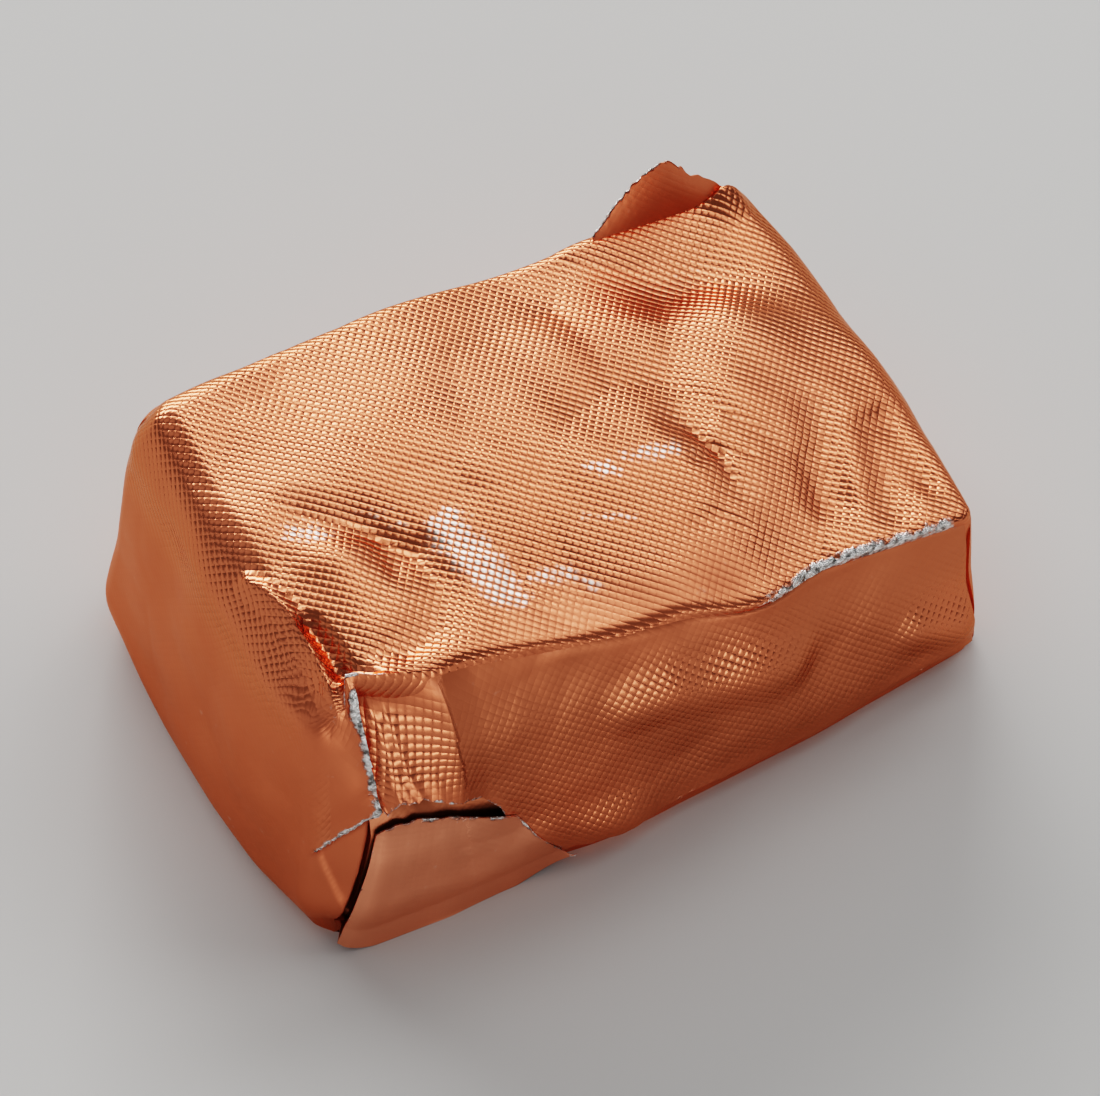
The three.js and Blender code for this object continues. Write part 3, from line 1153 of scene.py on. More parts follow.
    def bead_edge(self, points: Array, places: EndPlaces, marks: Marks) -> None:
        """Thickens a corner sheet's free edge above the ledge, and folds it inwards below.

        Args:
            points: Places of the vertices, which are moved.
            places: The same vertices as the end sees them.
            marks: What the finish reads, which is added to.
        """
        end, z, to_edge = places.end, places.z, places.to_edge
        random = np.random.default_rng(end.seed + self.bead_seed)
        heights = np.linspace(0.0, self.bead_span, self.bead_steps)
        rough = np.interp(z, heights, random.uniform(*self.bead_rough, self.bead_steps))
        high = smooth(z, end.ledge - 0.4, end.ledge) * smooth(places.drop, 0.0, 0.5)
        bead = self.bead * rough * bell(to_edge, self.bead_width) * high
        width = mix(*self.fold_widths, np.clip(z / end.ledge, 0.0, 1.0))
        inward = self.fold_in * bell(to_edge, width) * (1.0 - smooth(z, end.ledge - 0.8, end.ledge))
        points[:, 1] += end.face.sign * (bead - inward * smooth(z, 0.3, 1.5)) * places.edge
        worn = self.bead_wear * bell(to_edge, self.bead_worn) * high
        # Painted shade: the colour darkens along the inward fold of the free edge
        folded = bell(to_edge, self.fold_dark * width) * smooth(end.ledge - 0.3 - z, 0.0, 0.5)
        marks.deepen(wear=worn * places.edge, shade=folded * places.edge)

    def step_ledge(self, points: Array, places: EndPlaces, marks: Marks) -> None:
        """Steps a corner sheet: its upper part ends in a ledge over a tucked triangle beside the slit.

        Args:
            points: Places of the vertices, which are moved.
            places: The same vertices as the end sees them.
            marks: What the finish reads, which is added to.
        """
        end, z, run = places.end, places.z, self.ledge_run
        turn = self.form.depth / 2.0 - self.form.draft_front * z - 0.5
        reach = places.to_edge + np.maximum(0.0, turn - places.y)
        height = z - (end.ledge - self.ledge_slope * reach)
        fade = (1.0 - smooth(reach, 0.75 * run, 1.15 * run)) * places.wrapped
        out = self.ledge * smooth(height, -0.12, 0.12) * (1.0 - smooth(height, *self.ledge_fade)) * fade
        width = run * smooth(z, 0.15 * end.ledge, 0.85 * end.ledge)
        out -= self.tuck * smooth(width - reach, 0.0, 0.3) * smooth(-height, 0.0, 0.3) * places.wrapped
        points[:, :2] += out[:, None] * (np.array([-end.mirror, end.face.sign]) * math.sqrt(0.5))
        below = smooth(-height, 0.0, 0.4) * (1.0 - smooth(reach, 1.2 * run, 1.8 * run))
        worn = self.ledge_wear * bell(height - self.ledge_worn_at, self.ledge_worn)
        marks.deepen(wear=worn * fade, bare=below * places.wrapped)

    @staticmethod
    def ripple(plain: Array, normals: Array) -> Array:
        """Height of the sheet's unevenness at each vertex.

        Args:
            plain: Places on the plain surface, in millimetres.
            normals: The directions that they face.

        Returns:
            One height for each vertex.
        """
        total = np.zeros(len(plain))
        for face in Face:
            total += smooth(normals[:, face.axis] * face.sign, 0.5, 0.9) * unevenness(face, plain)
        return total

    def store_map(self, block: bpy.types.Object, cells: Array, points: Array) -> None:
        """Stores the sheet map, with the lengths of the folded sheet kept.

        Args:
            block: The body.
            cells: Places of its vertices on the cube of even cells.
            points: Places of its vertices, in millimetres.
        """
        counts = np.array([self.cells_x, self.cells_y, self.cells_z])
        across, along, up = np.rint((cells + 1.0) / 2.0 * counts).astype(np.int64).T
        top = on_grid(points, along, across, cells[:, 2] > ON_FACE)
        wide = arc_lengths(top, 1) + top[:, [self.cells_x // 2], 0]
        deep = arc_lengths(top, 0) + top[[self.cells_y // 2], :, 1]
        flat = {Face.TOP: np.stack([wide[along, across], deep[along, across]], axis=1)}
        for side, end in ((Face.LEFT, Face.FRONT), (Face.RIGHT, Face.BACK)):
            rim = 0 if side is Face.LEFT else self.cells_x
            row = 0 if end is Face.FRONT else self.cells_y
            wall = on_grid(points, up, along, cells[:, 0] * side.sign > ON_FACE)
            fall = arc_lengths(wall, 0)
            wall_wide = wide[:, rim] + side.sign * (fall[-1] - fall)
            wall_deep = deep[:, rim] + wall[:, :, 1] - wall[-1, :, 1]
            flat[side] = np.stack([wall_wide[up, along], wall_deep[up, along]], axis=1)
            run = arc_lengths(on_grid(points, up, across, cells[:, 1] * end.sign > ON_FACE), 1)
            end_deep = wall_deep[:, [row]] + end.sign * np.abs(run - run[:, [rim]])
            flat[end] = np.stack([wall_wide[up, row], end_deep[up, across]], axis=1)
        corners = loop_vertices(block)
        laid = points[corners, :2].copy()
        for face, mine in self.corner_faces(block, cells).items():
            laid[mine] = flat[face][corners[mine]]
        store_sheet(block, laid)

    def worn_lines(self, worn: Array, cube: Array, plain: Array, normals: Array) -> Array:
        """Adds the silver wear of the front ridge's thin half and of the fold lines.

        Args:
            worn: Silver wear of the free edges.
            cube: Places on the cube.
            plain: Places on the plain surface, in millimetres.
            normals: The directions that they face.

        Returns:
            The silver wear of each vertex.
        """
        gap = np.linalg.norm((plain - self.form.rim(cube, Face.FRONT))[:, 1:], axis=1)
        span = smooth(plain[:, 0], self.worn_from, self.worn_from + 2.5)
        span *= 1.0 - smooth(plain[:, 0], self.worn_to - 1.0, self.worn_to)
        worn = np.maximum(worn, self.ridge_wear * span * bell(gap, self.worn_width))
        return np.maximum(worn, crease_wear(plain, normals, SKIN_CREASES, self.worn_width))

    @staticmethod
    def rubbed(plain: Array, normals: Array) -> Array:
        """How strong the top's painted highlight is at each vertex."""
        shares = [patch.share(plain) * (normals[:, 2] > 0.5) for patch in PAINTED_HIGHLIGHT_PATCHES]
        return np.max(shares, axis=0)

    def embossing(self, bare: Array, cube: Array, plain: Array, normals: Array, wrapped: Array) -> Array:
        """Strength of the embossing, which is worn off low on the sides and at the corner folds.

        Args:
            bare: How far the sheet is smooth at the corner folds.
            cube: Places on the cube.
            plain: Places on the plain surface, in millimetres.
            normals: The directions that they face.
            wrapped: Which vertices lie where the long sides' sheet is folded round a corner.

        Returns:
            One strength for each vertex.
        """
        x, up = plain[:, 0], normals[:, 2]
        side = np.maximum(smooth(np.abs(normals[:, 0]), 0.5, 0.9), wrapped)
        drop = self.form.rim(cube, Face.FRONT)[:, 2] - plain[:, 2]
        low = smooth(drop, self.smooth_from, self.smooth_to)
        middle, width = self.flat_band
        span = smooth(x, -9.0, -5.0) * (1.0 - smooth(x, 5.0, 8.0))
        band = self.flat_band_share * span * bell(plain[:, 1] - middle, width) * (up > 0.5)
        to_fold = np.linalg.norm(plain - np.array(self.corner_fold), axis=1)
        folded = bell(to_fold, self.corner_fold_reach) * (1.0 - smooth(up, 0.75, 0.9))
        emboss = (1.0 - self.smoothed * side * low) * (1.0 - self.smoothed * bare)
        return emboss * (1.0 - band) * (1.0 - self.corner_fold_share * folded)


@dataclass
class EndSheet:
    """A thin sheet of foil that lies on one end of the pack."""

    form: FoilForm
    end: EndSizes
    across: int = 190
    along: int = 76
    thickness: float = 0.09
    clearance: float = 0.02
    panel_calm: float = 0.3
    merge: float = 0.002
    sharp_angle: float = 50.0

    def grid_shares(self) -> tuple[Array, Array]:
        """The share of the way across and along of each vertex, in the grid's own order."""
        s, t = np.meshgrid(np.linspace(0.0, 1.0, self.across + 1), np.linspace(0.0, 1.0, self.along + 1))
        return s.ravel(), t.ravel()

    def lay(self, kind: str, x: Array, z: Array, lift: Array) -> bpy.types.Object:
        """Lays a grid on the end, lifted off the plain surface.

        Args:
            kind: What the sheet is, for its name.
            x: Places across the end, drawn for the front, in millimetres.
            z: Heights over the table.
            lift: How far each place stands off the surface.

        Returns:
            The sheet in the frame, before it gets its thickness.
        """
        face = self.end.face
        sheet = add_grid(f"{face.name.lower()}_{kind}", self.across, self.along)
        over_foot = np.maximum(z, self.form.edge_radius)
        cube = self.form.end_cube(x * self.end.mirror, over_foot, face)
        plain = self.form.plain(cube)
        normals = self.normals(cube)
        points = press(plain, normals, FLAP_CREASES)
        calm = mix(1.0, self.panel_calm, smooth(self.end.near_corner(x), 0.0, 0.3))
        points += normals * (lift + calm * unevenness(face, plain))[:, None]
        points += self.form.raise_lip(cube, plain)
        points[:, 2] -= over_foot - z
        points[:, 2] = np.maximum(points[:, 2], self.clearance)
        set_mesh_points(sheet, self.form.to_frame(points))
        flat = self.form.unroll(cube, plain, face)
        flat[:, 1] += face.sign * (over_foot - z)
        store_sheet(sheet, self.turn_panel(flat, x)[loop_vertices(sheet)])
        return sheet

    def turn_panel(self, flat: Array, x: Array) -> Array:
        """Turns the sheet map of the panel beside the corner, which is folded out of the flap.

        Args:
            flat: Places on the flat sheet.
            x: Places across the end, drawn for the front.

        Returns:
            The same places, with those of the panel turned.
        """
        panel = x < self.end.corner + self.end.panel
        turn = math.radians(self.end.panel_turn)
        rows = np.array([[math.cos(turn), math.sin(turn)], [-math.sin(turn), math.cos(turn)]])
        return np.where(panel[:, None], flat @ rows, flat)

    def normals(self, cube: Array) -> Array:
        """The directions that the end's plain surface faces.

        Args:
            cube: Places on the cube.

        Returns:
            One direction for each place.
        """
        step = 1e-3
        face = self.end.face
        side = np.array([step, 0.0, 0.0])
        rise = np.array([0.0, 0.0, step])
        inner = np.clip(cube, step - 1.0, 1.0 - step)
        inner[:, face.axis] = face.sign
        along = self.form.plain(inner + side) - self.form.plain(inner - side)
        up = self.form.plain(inner + rise) - self.form.plain(inner - rise)
        normal = np.cross(along, up) * -face.sign
        return normal / np.linalg.norm(normal, axis=1, keepdims=True)

    def finish(self, sheet: bpy.types.Object, emboss: Array, wear: Array) -> bpy.types.Object:
        """Stores what the finish reads, and gives the sheet its thickness.

        Args:
            sheet: The laid sheet.
            emboss: Strength of the embossing at each vertex.
            wear: Silver wear at each vertex.

        Returns:
            The finished sheet.
        """
        store_value(sheet, "emboss", emboss)
        store_value(sheet, "wear", wear)
        with edit_mode(sheet):
            bpy.ops.mesh.remove_doubles(threshold=self.merge * MM)
            bpy.ops.mesh.normals_make_consistent(inside=False)
            if self.faces_inwards(sheet):
                bpy.ops.mesh.flip_normals()
        apply_modifier(sheet, "SOLIDIFY", thickness=self.thickness * MM, offset=-1.0)
        smooth_shade(sheet, self.sharp_angle)
        return sheet

    def faces_inwards(self, sheet: bpy.types.Object) -> bool:
        """Whether most of the sheet faces away from its end's outward side."""
        mesh = bmesh.from_edit_mesh(sheet.data)
        total = sum(face.normal[self.end.face.axis] for face in mesh.faces)
        return total * self.end.face.sign < 0.0


@dataclass
class EndFlap(EndSheet):
    """The upper flap of an end: it hangs from the top's ridge, and its hem slants down to the foot."""

    spacing: float = 1.25
    rounds: int = 3
    lift_ridge: float = 0.06
    lift_hem: float = 0.1
    seat: float = 0.015
    sunk_rise: float = 6.5
    flare_height: float = 4.5
    side_gap: float = 0.45
    tucked: float = 0.45
    hem_noise: float = 0.07
    hem_steps: int = 90
    hem_wear: float = 0.6
    ridge_wear: float = 0.85
    corner_wear: float = 0.8
    calm_emboss: float = 0.4
    low_emboss: float = 0.8
    hem_emboss: float = 0.35
    ridge_emboss: float = 0.3
    columns: float = 0.1
    panel_columns: float = 0.4
    # Painted shade: how far the flap's plain face is darkened, outside its crisp panel and spots
    painted_shade: float = 0.5
    crisp_spots: tuple[tuple[float, float, float], ...] = (
        (4.5, 9.8, 2.8), (0.6, 10.4, 2.2), (17.3, 4.6, 2.0), (-5.5, 5.0, 4.2))

    def draw(self, s: Array, t: Array) -> tuple[Array, Array, Array, Array]:
        """Draws the flap between its hem, the ridge, the corner's free edge and the far side.

        Args:
            s: Share of the way across of each vertex.
            t: Share of the way up of each vertex.

        Returns:
            Places across the end, heights, and the ways to the hem and to the ridge, one for each vertex.
        """
        end, far = self.end, self.end.hem_x[-1]
        noise = np.random.default_rng(end.seed).normal(0.0, self.hem_noise, self.hem_steps)
        wave = np.interp(s, np.linspace(0.0, 1.0, self.hem_steps), noise)
        draft = self.form.side_draft(far * end.mirror)
        x = mix(end.corner, far, s**self.spacing)
        for _ in range(self.rounds):
            hem = np.interp(x, end.hem_x, end.hem_z) + wave
            top = self.form.ridge_height(x * end.mirror, end.face)
            z = mix(hem, top, t)
            left = end.edge_place(z) - self.tucked * smooth(z - end.ledge, 0.0, 2.0)
            right = np.minimum(far, self.form.width / 2.0 - draft * z - self.side_gap)
            x = mix(left, right, s**self.spacing)
        return x, z, z - hem, top - z

    def build(self) -> bpy.types.Object:
        """Models the flap.

        Returns:
            The finished flap.
        """
        end = self.end
        s, t = self.grid_shares()
        x, z, to_hem, to_ridge = self.draw(s, t)
        sunk = end.sunk * end.near_corner(x) * np.clip(to_hem / self.sunk_rise, 0.0, 1.0)
        curl = np.interp(x, end.flare_x, end.flare_out)
        curl *= np.clip(1.0 - to_hem / self.flare_height, 0.0, 1.0)
        lift = self.lift_ridge + self.lift_hem * (1.0 - t) - sunk + curl
        sheet = self.lay("flap", x, z, lift * smooth(to_ridge, 0.0, 2.0) + self.seat)
        wear = self.hem_wear * bell(to_hem, 0.2) * mix(0.4, 1.0, smooth(-x, 5.0, 9.0))
        ridge = bell(to_ridge, 0.3)
        wear = np.maximum(wear, self.ridge_wear * ridge * smooth(x, 5.0, 7.5))
        wear = np.maximum(wear, self.corner_wear * ridge * (1.0 - smooth(x, -14.0, -12.5)))
        crisp = self.crispness(x, z)
        base = mix(self.calm_emboss, self.low_emboss, smooth(to_ridge, 2.0, 4.5))
        emboss = mix(1.0, self.hem_emboss, smooth(-to_hem, -1.5, -0.4)) * mix(base, 1.0, crisp)
        emboss *= mix(self.ridge_emboss, 1.0, smooth(to_ridge, 0.8, 2.2))
        store_value(sheet, "columns", self.columns + self.panel_columns * (x < end.corner + end.panel))
        # Painted shade over the flap's plain face
        store_value(sheet, "shade", self.painted_shade * (1.0 - crisp))
        return self.finish(sheet, emboss, wear)

    def crispness(self, x: Array, z: Array) -> Array:
        """Where the embossing stays crisp: on the panel beside the corner, and round a few spots.

        Args:
            x: Places across the end, drawn for the front.
            z: Heights over the table.

        Returns:
            One number from 0 to 1 for each place.
        """
        crisp = smooth(self.end.near_corner(x), 0.0, 0.15)
        for spot_x, spot_z, reach in self.crisp_spots:
            crisp = np.maximum(crisp, np.exp(-((x - spot_x) ** 2 + (z - spot_z) ** 2) / reach**2))
        return crisp


@dataclass
class EndEar(EndSheet):
    """The ear of an end: a blunt triangle folded up from the underside, with a slit beside the corner.

    Each lift goes from the ear's foot to its top: beside the corner, and over the flap.
    """

    across: int = 90
    along: int = 60
    slit: float = -0.3
    corner_lift: tuple[float, float] = (0.85, -0.15)
    flap_lift: tuple[float, float] = (0.5, 0.24)
    far_lift: float = 0.2
    top_curl: float = 0.12
    slit_curl: float = 0.15
    top_noise: float = 0.07
    top_steps: int = 31
    noise_seed: int = 40
    foot_far: float = 0.3
    foot_tip: float = 0.6
    foot_share: float = 0.1
    foot_under: float = 1.4
    top_wear: float = 0.55
    slit_wear: float = 0.35
    emboss: float = 0.12
    # Painted light: how far the ear's colour is lightened, so that it looks brighter; its gloss stays the
    # same
    matt: float = 0.4

    def build(self) -> bpy.types.Object:
        """Models the ear, whose lowest rows are folded in under the foot.

        Returns:
            The finished ear.
        """
        end = self.end
        s, rows = self.grid_shares()
        t = np.clip((rows - self.foot_share) / (1.0 - self.foot_share), 0.0, 1.0)
        under = np.clip(1.0 - rows / self.foot_share, 0.0, 1.0) * (1.0 - smooth(s, 0.4, 0.8))
        steps = np.hypot(np.diff(end.ear_x), np.diff(end.ear_z))
        shares = np.concatenate([[0.0], np.cumsum(steps)]) / steps.sum()
        random = np.random.default_rng(end.seed + self.noise_seed)
        noise = random.normal(0.0, self.top_noise, self.top_steps)
        top_x = np.interp(s, shares, end.ear_x)
        top_z = np.interp(s, shares, end.ear_z)
        top_z = top_z + np.interp(s, np.linspace(0.0, 1.0, self.top_steps), noise) * (1.0 - s)
        foot_left = end.edge_x[0] + self.slit
        x = mix(mix(foot_left, end.ear_x[-1] + self.foot_far, s), top_x, t)
        z = mix(self.foot_tip * smooth(s, 0.7, 1.0), top_z, t)
        to_top = top_z - z
        to_slit = x - mix(foot_left, end.ear_x[0], t)
        over = smooth(x, end.corner + 2.5, end.corner + 6.5)
        lift = mix(mix(*self.corner_lift, t), mix(*self.flap_lift, t), over)
        lift *= mix(self.far_lift, 1.0, smooth(1.0 - s, 0.0, 0.3))
        lift += self.top_curl * np.exp(-to_top / 0.7) * (1.0 - s) - self.slit_curl * bell(to_slit, 0.4)
        sheet = self.lay("ear", x, z, lift - self.foot_under * under)
        wear = np.maximum(self.top_wear * bell(to_top, 0.2), self.slit_wear * bell(to_slit, 0.14))
        # Painted light over the whole ear
        store_value(sheet, "matt", np.full(len(x), self.matt))
        return self.finish(sheet, np.full(len(x), self.emboss), wear)


@dataclass
class BackLip:
    """The thin edge of the sheet that stands up behind the top's back ridge, beside the low corner."""

    form: FoilForm
    edge_x: tuple[float, ...] = (9.8, 11.2, 12.4, 13.6, 14.6, 15.3, 15.9, 16.6, 17.3, 17.9)
    edge_rise: tuple[float, ...] = (0.0, 1.3, 2.4, 3.3, 3.6, 2.9, 2.1, 1.6, 1.0, 0.3)
    lean: float = 0.24
    rise: float = 0.9
    below: float = 0.6
    tuck: float = 0.55
    inset: float = 0.5
    bulge: float = 0.22
    edge_noise: float = 0.05
    edge_steps: int = 40
    edge_seed: int = 17
    wear: float = 0.7
    worn_width: float = 0.14
    emboss: float = 0.15
    thickness: float = 0.08
    sharp_angle: float = 50.0
    across: int = 110
    along: int = 24

    def build(self) -> bpy.types.Object:
        """Models the lip.

        Returns:
            The finished lip.
        """
        sheet = add_grid("back_lip", self.across, self.along)
        grid = (mesh_points(sheet)[:, :2] + 1.0) / 2.0
        s, t = grid[:, 0], grid[:, 1]
        noise = np.random.default_rng(self.edge_seed).normal(0.0, self.edge_noise, self.edge_steps)
        x = mix(self.edge_x[0], self.edge_x[-1], s)
        ridge = self.form.ridge_height(x, Face.BACK) + self.rise
        rough = np.interp(s, np.linspace(0.0, 1.0, self.edge_steps), noise) * t
        tall = np.interp(x, self.edge_x, self.edge_rise) + self.tuck + rough
        foot = self.form.depth / 2.0 - self.form.draft_back * ridge - self.inset
        wave = self.bulge * np.sin(2.2 * math.pi * s + 0.6) * t
        y = foot + self.lean * tall * t**1.5 + wave
        points = np.stack([x, y, ridge - self.below + t * tall], axis=1)
        set_mesh_points(sheet, self.form.to_frame(points))
        store_sheet(sheet, np.stack([x, foot + t * tall], axis=1)[loop_vertices(sheet)])
        wear = self.wear * bell((1.0 - t) * tall, self.worn_width) * (1.0 - smooth(s, 0.5, 0.9))
        store_value(sheet, "emboss", np.full(len(points), self.emboss))
        store_value(sheet, "wear", wear)
        apply_modifier(sheet, "SOLIDIFY", thickness=self.thickness * MM, offset=0.0)
        with edit_mode(sheet):
            bpy.ops.mesh.normals_make_consistent(inside=False)
        smooth_shade(sheet, self.sharp_angle)
        return sheet


@dataclass
class BaseFlap:
    """The last flap of the underside, folded over from the front and stuck down."""

    form: FoilForm
    margin: float = 3.0
    tip: float = 8.0
    gap: float = 5.0
    front: float = 1.2
    clearance: float = 0.02
    ripple_seed: int = 31
    ripple_slope: float = 0.012
    ripple_level: float = 0.03
    wear: float = 0.6
    worn_width: float = 0.25
    emboss: float = 0.25
    thickness: float = 0.1
    sharp_angle: float = 50.0
    rows: int = 40

    def build(self) -> bpy.types.Object:
        """Models the flap.

        Returns:
            The finished flap.
        """
        sheet = add_grid("base_flap", self.rows, self.rows)
        grid = mesh_points(sheet)
        s, t = grid[:, 0], (grid[:, 1] + 1.0) / 2.0
        y = mix(self.front - self.form.depth / 2.0, self.form.depth / 2.0 - self.gap, t)
        half = mix(self.form.width / 2.0 - self.margin, self.tip / 2.0, t)
        flat = np.stack([s * half, y], axis=1)
        ripple = Ripple(seed=self.ripple_seed, slope=self.ripple_slope).height(flat)
        z = self.clearance + np.maximum(0.0, ripple + self.ripple_level)
        set_mesh_points(sheet, self.form.to_frame(np.column_stack([flat, z])))
        store_sheet(sheet, flat[loop_vertices(sheet)])
        store_value(sheet, "emboss", np.full(len(flat), self.emboss))
        store_value(sheet, "wear", self.wear * bell(half * (1.0 - np.abs(s)), self.worn_width))
        with edit_mode(sheet):
            bpy.ops.mesh.normals_make_consistent(inside=False)
            if sum(face.normal.z for face in bmesh.from_edit_mesh(sheet.data).faces) > 0.0:
                bpy.ops.mesh.flip_normals()
        apply_modifier(sheet, "SOLIDIFY", thickness=self.thickness * MM, offset=-1.0)
        smooth_shade(sheet, self.sharp_angle)
        return sheet


class NodeBench:
    """A small helper that adds nodes to a tree and links them."""

    def __init__(self, tree: bpy.types.NodeTree) -> None:
        """Keeps the tree that the nodes go into."""
        self.tree = tree

    def add(self, kind: str, place: tuple[float, float], **settings: object) -> bpy.types.Node:
        """Adds a node.

        Args:
            kind: The node's type.
            place: Where it stands in the tree.
            **settings: Values of the node's own settings.

        Returns:
            The new node.
        """
        node = self.tree.nodes.new(kind)
        node.location = place
        for key, value in settings.items():
            setattr(node, key, value)
        return node

    def link(self, source: Socket, target: Socket) -> None:
        """Links an output to an input."""
        self.tree.links.new(source, target)

    def feed(self, target: Socket, value: Socket | Colour | float) -> None:
        """Links an output to an input, or sets the input to a fixed value."""
        if isinstance(value, bpy.types.NodeSocket):
            self.link(value, target)
        else:
            target.default_value = value

    def math(self, operation: str, first: Socket | float, second: Socket | float = 0.0,
             place: tuple[float, float] = (0.0, 0.0), clamp: bool = False) -> Socket:
        """Adds a Math node.

        Args:
            operation: What it works out.
            first: Its first value or the output that feeds it.
            second: Its second value or the output that feeds it.
            place: Where it stands in the tree.
            clamp: Whether the result is kept between 0 and 1.

        Returns:
            The node's output.
        """
        node = self.add("ShaderNodeMath", place, operation=operation, use_clamp=clamp)
        for number, value in enumerate((first, second)):
            self.feed(node.inputs[number], value)
        return node.outputs[0]

    def noise(self, spot: Socket, scale: float, detail: float, place: tuple[float, float]) -> Socket:
        """Adds a Noise Texture node.

        Args:
            spot: The place on the object.
            scale: How fine the noise is.
            detail: How many finer layers it has.
            place: Where the node stands in the tree.

        Returns:
            The node's value.
        """
        node = self.add("ShaderNodeTexNoise", place)
        node.inputs["Scale"].default_value = scale
        node.inputs["Detail"].default_value = detail
        self.link(spot, node.inputs["Vector"])
        return node.outputs["Fac"]

    def stretch(self, value: Socket, ends: tuple[float, float], place: tuple[float, float],
                to: tuple[float, float] = (0.0, 1.0), kind: str = "LINEAR") -> Socket:
        """Adds a Map Range node.

        Args:
            value: The value to stretch.
            ends: Where it starts and ends.
            place: Where the node stands in the tree.
            to: Where the result starts and ends.
            kind: How the result goes from one to the other.

        Returns:
            The node's result.
        """
        node = self.add("ShaderNodeMapRange", place, interpolation_type=kind)
        for label, number in zip(("From Min", "From Max", "To Min", "To Max"), (*ends, *to)):
            node.inputs[label].default_value = number
        self.link(value, node.inputs["Value"])
        return node.outputs["Result"]

    def blend(self, share: Socket, first: Socket | Colour, second: Socket | Colour,
              place: tuple[float, float]) -> Socket:
        """Adds a Mix node for colours.

        Args:
            share: How far the result is the second colour.
            first: The first colour or the output that feeds it.
            second: The second colour or the output that feeds it.
            place: Where the node stands in the tree.

        Returns:
            The mixed colour.
        """
        node = self.add("ShaderNodeMix", place, data_type="RGBA")
        for number, value in ((0, share), (6, first), (7, second)):
            self.feed(node.inputs[number], value)
        return node.outputs[2]


def new_group(name: str, inputs: Sequence[tuple[str, str]],
              outputs: Sequence[tuple[str, str]]) -> NodeBench:
    """Starts a shader node group.

    Args:
        name: Name of the group.
        inputs: Name and socket type of each input.
        outputs: Name and socket type of each output.

    Returns:
        A bench over the new group, with its ends added.
    """
    group = bpy.data.node_groups.new(name, "ShaderNodeTree")
    for label, kind in inputs:
        group.interface.new_socket(name=label, in_out="INPUT", socket_type=kind)
    for label, kind in outputs:
        group.interface.new_socket(name=label, in_out="OUTPUT", socket_type=kind)
    bench = NodeBench(group)
    bench.add("NodeGroupInput", (-1200.0, 0.0))
    bench.add("NodeGroupOutput", (900.0, 0.0))
    return bench


def pin_embossing(turn: float = 39.5, roundness: float = 2.3, columns: float = 0.75) -> bpy.types.NodeTree:
    """The square pillows of the embossed foil, as a height over the flat sheet.

    Args:
        turn: Angle of the pillows' rows on the sheet, in degrees.
        roundness: Power by which a pillow falls to its grooves.
        columns: Depth of the grooves between columns, as a share of those between rows.

    Returns:
        A group from the sheet's place, the pitch, the strength and the columns' added depth to a height.
    """
    bench = new_group("pin_embossing",
                      [("Sheet", "NodeSocketVector"), ("Cells per mm", "NodeSocketFloat"),
                       ("Strength", "NodeSocketFloat"), ("Columns", "NodeSocketFloat")],
                      [("Height", "NodeSocketFloat")])
    start, end = bench.tree.nodes[0], bench.tree.nodes[1]
    turned = bench.add("ShaderNodeVectorRotate", (-1000.0, 0.0), rotation_type="Z_AXIS")
    turned.inputs["Angle"].default_value = math.radians(turn)
    bench.link(start.outputs["Sheet"], turned.inputs["Vector"])
    scale = bench.add("ShaderNodeVectorMath", (-800.0, 0.0), operation="SCALE")
    bench.link(turned.outputs["Vector"], scale.inputs["Vector"])
    bench.link(start.outputs["Cells per mm"], scale.inputs["Scale"])
    parts = bench.add("ShaderNodeSeparateXYZ", (-600.0, 0.0))
    bench.link(scale.outputs["Vector"], parts.inputs["Vector"])
    drops = []
    share_x = bench.math("ADD", start.outputs["Columns"], columns, (220.0, 220.0))
    for number, (label, share) in enumerate((("X", share_x), ("Y", 1.0))):
        low = -220.0 * number
        cell = bench.math("FRACT", parts.outputs[label], place=(-420.0, low))
        centred = bench.math("SUBTRACT", cell, 0.5, (-260.0, low))
        away = bench.math("ABSOLUTE", centred, place=(-100.0, low))
        twice = bench.math("MULTIPLY", away, 2.0, (60.0, low))
        drop = bench.math("POWER", twice, roundness, (220.0, low))
        drops.append(bench.math("MULTIPLY", drop, share, (380.0, low)))
    grooves = bench.math("ADD", drops[0], drops[1], (540.0, 0.0))
    depth = bench.math("MULTIPLY", grooves, start.outputs["Strength"], (700.0, 0.0))
    height = bench.math("MULTIPLY", depth, -1.0, (800.0, 0.0))
    bench.link(height, end.inputs["Height"])
    return bench.tree


def rubbed_wear(spread: float = 1.6, ends: tuple[float, float] = (0.38, 0.72),
                least: float = 0.02) -> bpy.types.NodeTree:
    """Broken silver wear along worn lines.

    Args:
        spread: How far the grain breaks the wear up.
        ends: Where the broken wear starts to show, and where it is full.
        least: Wear under which no grain shows.

    Returns:
        A group from a place, a wear value and a grain to a mask.
    """
    bench = new_group("rubbed_wear",
                      [("Place", "NodeSocketVector"), ("Wear", "NodeSocketFloat"),
                       ("Grain", "NodeSocketFloat")],
                      [("Mask", "NodeSocketFloat")])
    start, end = bench.tree.nodes[0], bench.tree.nodes[1]
    noise = bench.add("ShaderNodeTexNoise", (-900.0, 0.0))
    noise.inputs["Detail"].default_value = 3.0
    noise.inputs["Roughness"].default_value = 0.65
    bench.link(start.outputs["Place"], noise.inputs["Vector"])
    bench.link(start.outputs["Grain"], noise.inputs["Scale"])
    uneven = bench.math("SUBTRACT", noise.outputs["Fac"], 0.5, (-700.0, 0.0))
    wide = bench.math("MULTIPLY", uneven, spread, (-540.0, 0.0))
    broken = bench.math("ADD", start.outputs["Wear"], wide, (-380.0, 0.0))
    shown = bench.stretch(broken, ends, (-200.0, 0.0), kind="SMOOTHSTEP")
    there = bench.math("GREATER_THAN", start.outputs["Wear"], least, (-200.0, -260.0))
    mask = bench.math("MULTIPLY", shown, there, (0.0, 0.0))
    bench.link(mask, end.inputs["Mask"])
    return bench.tree


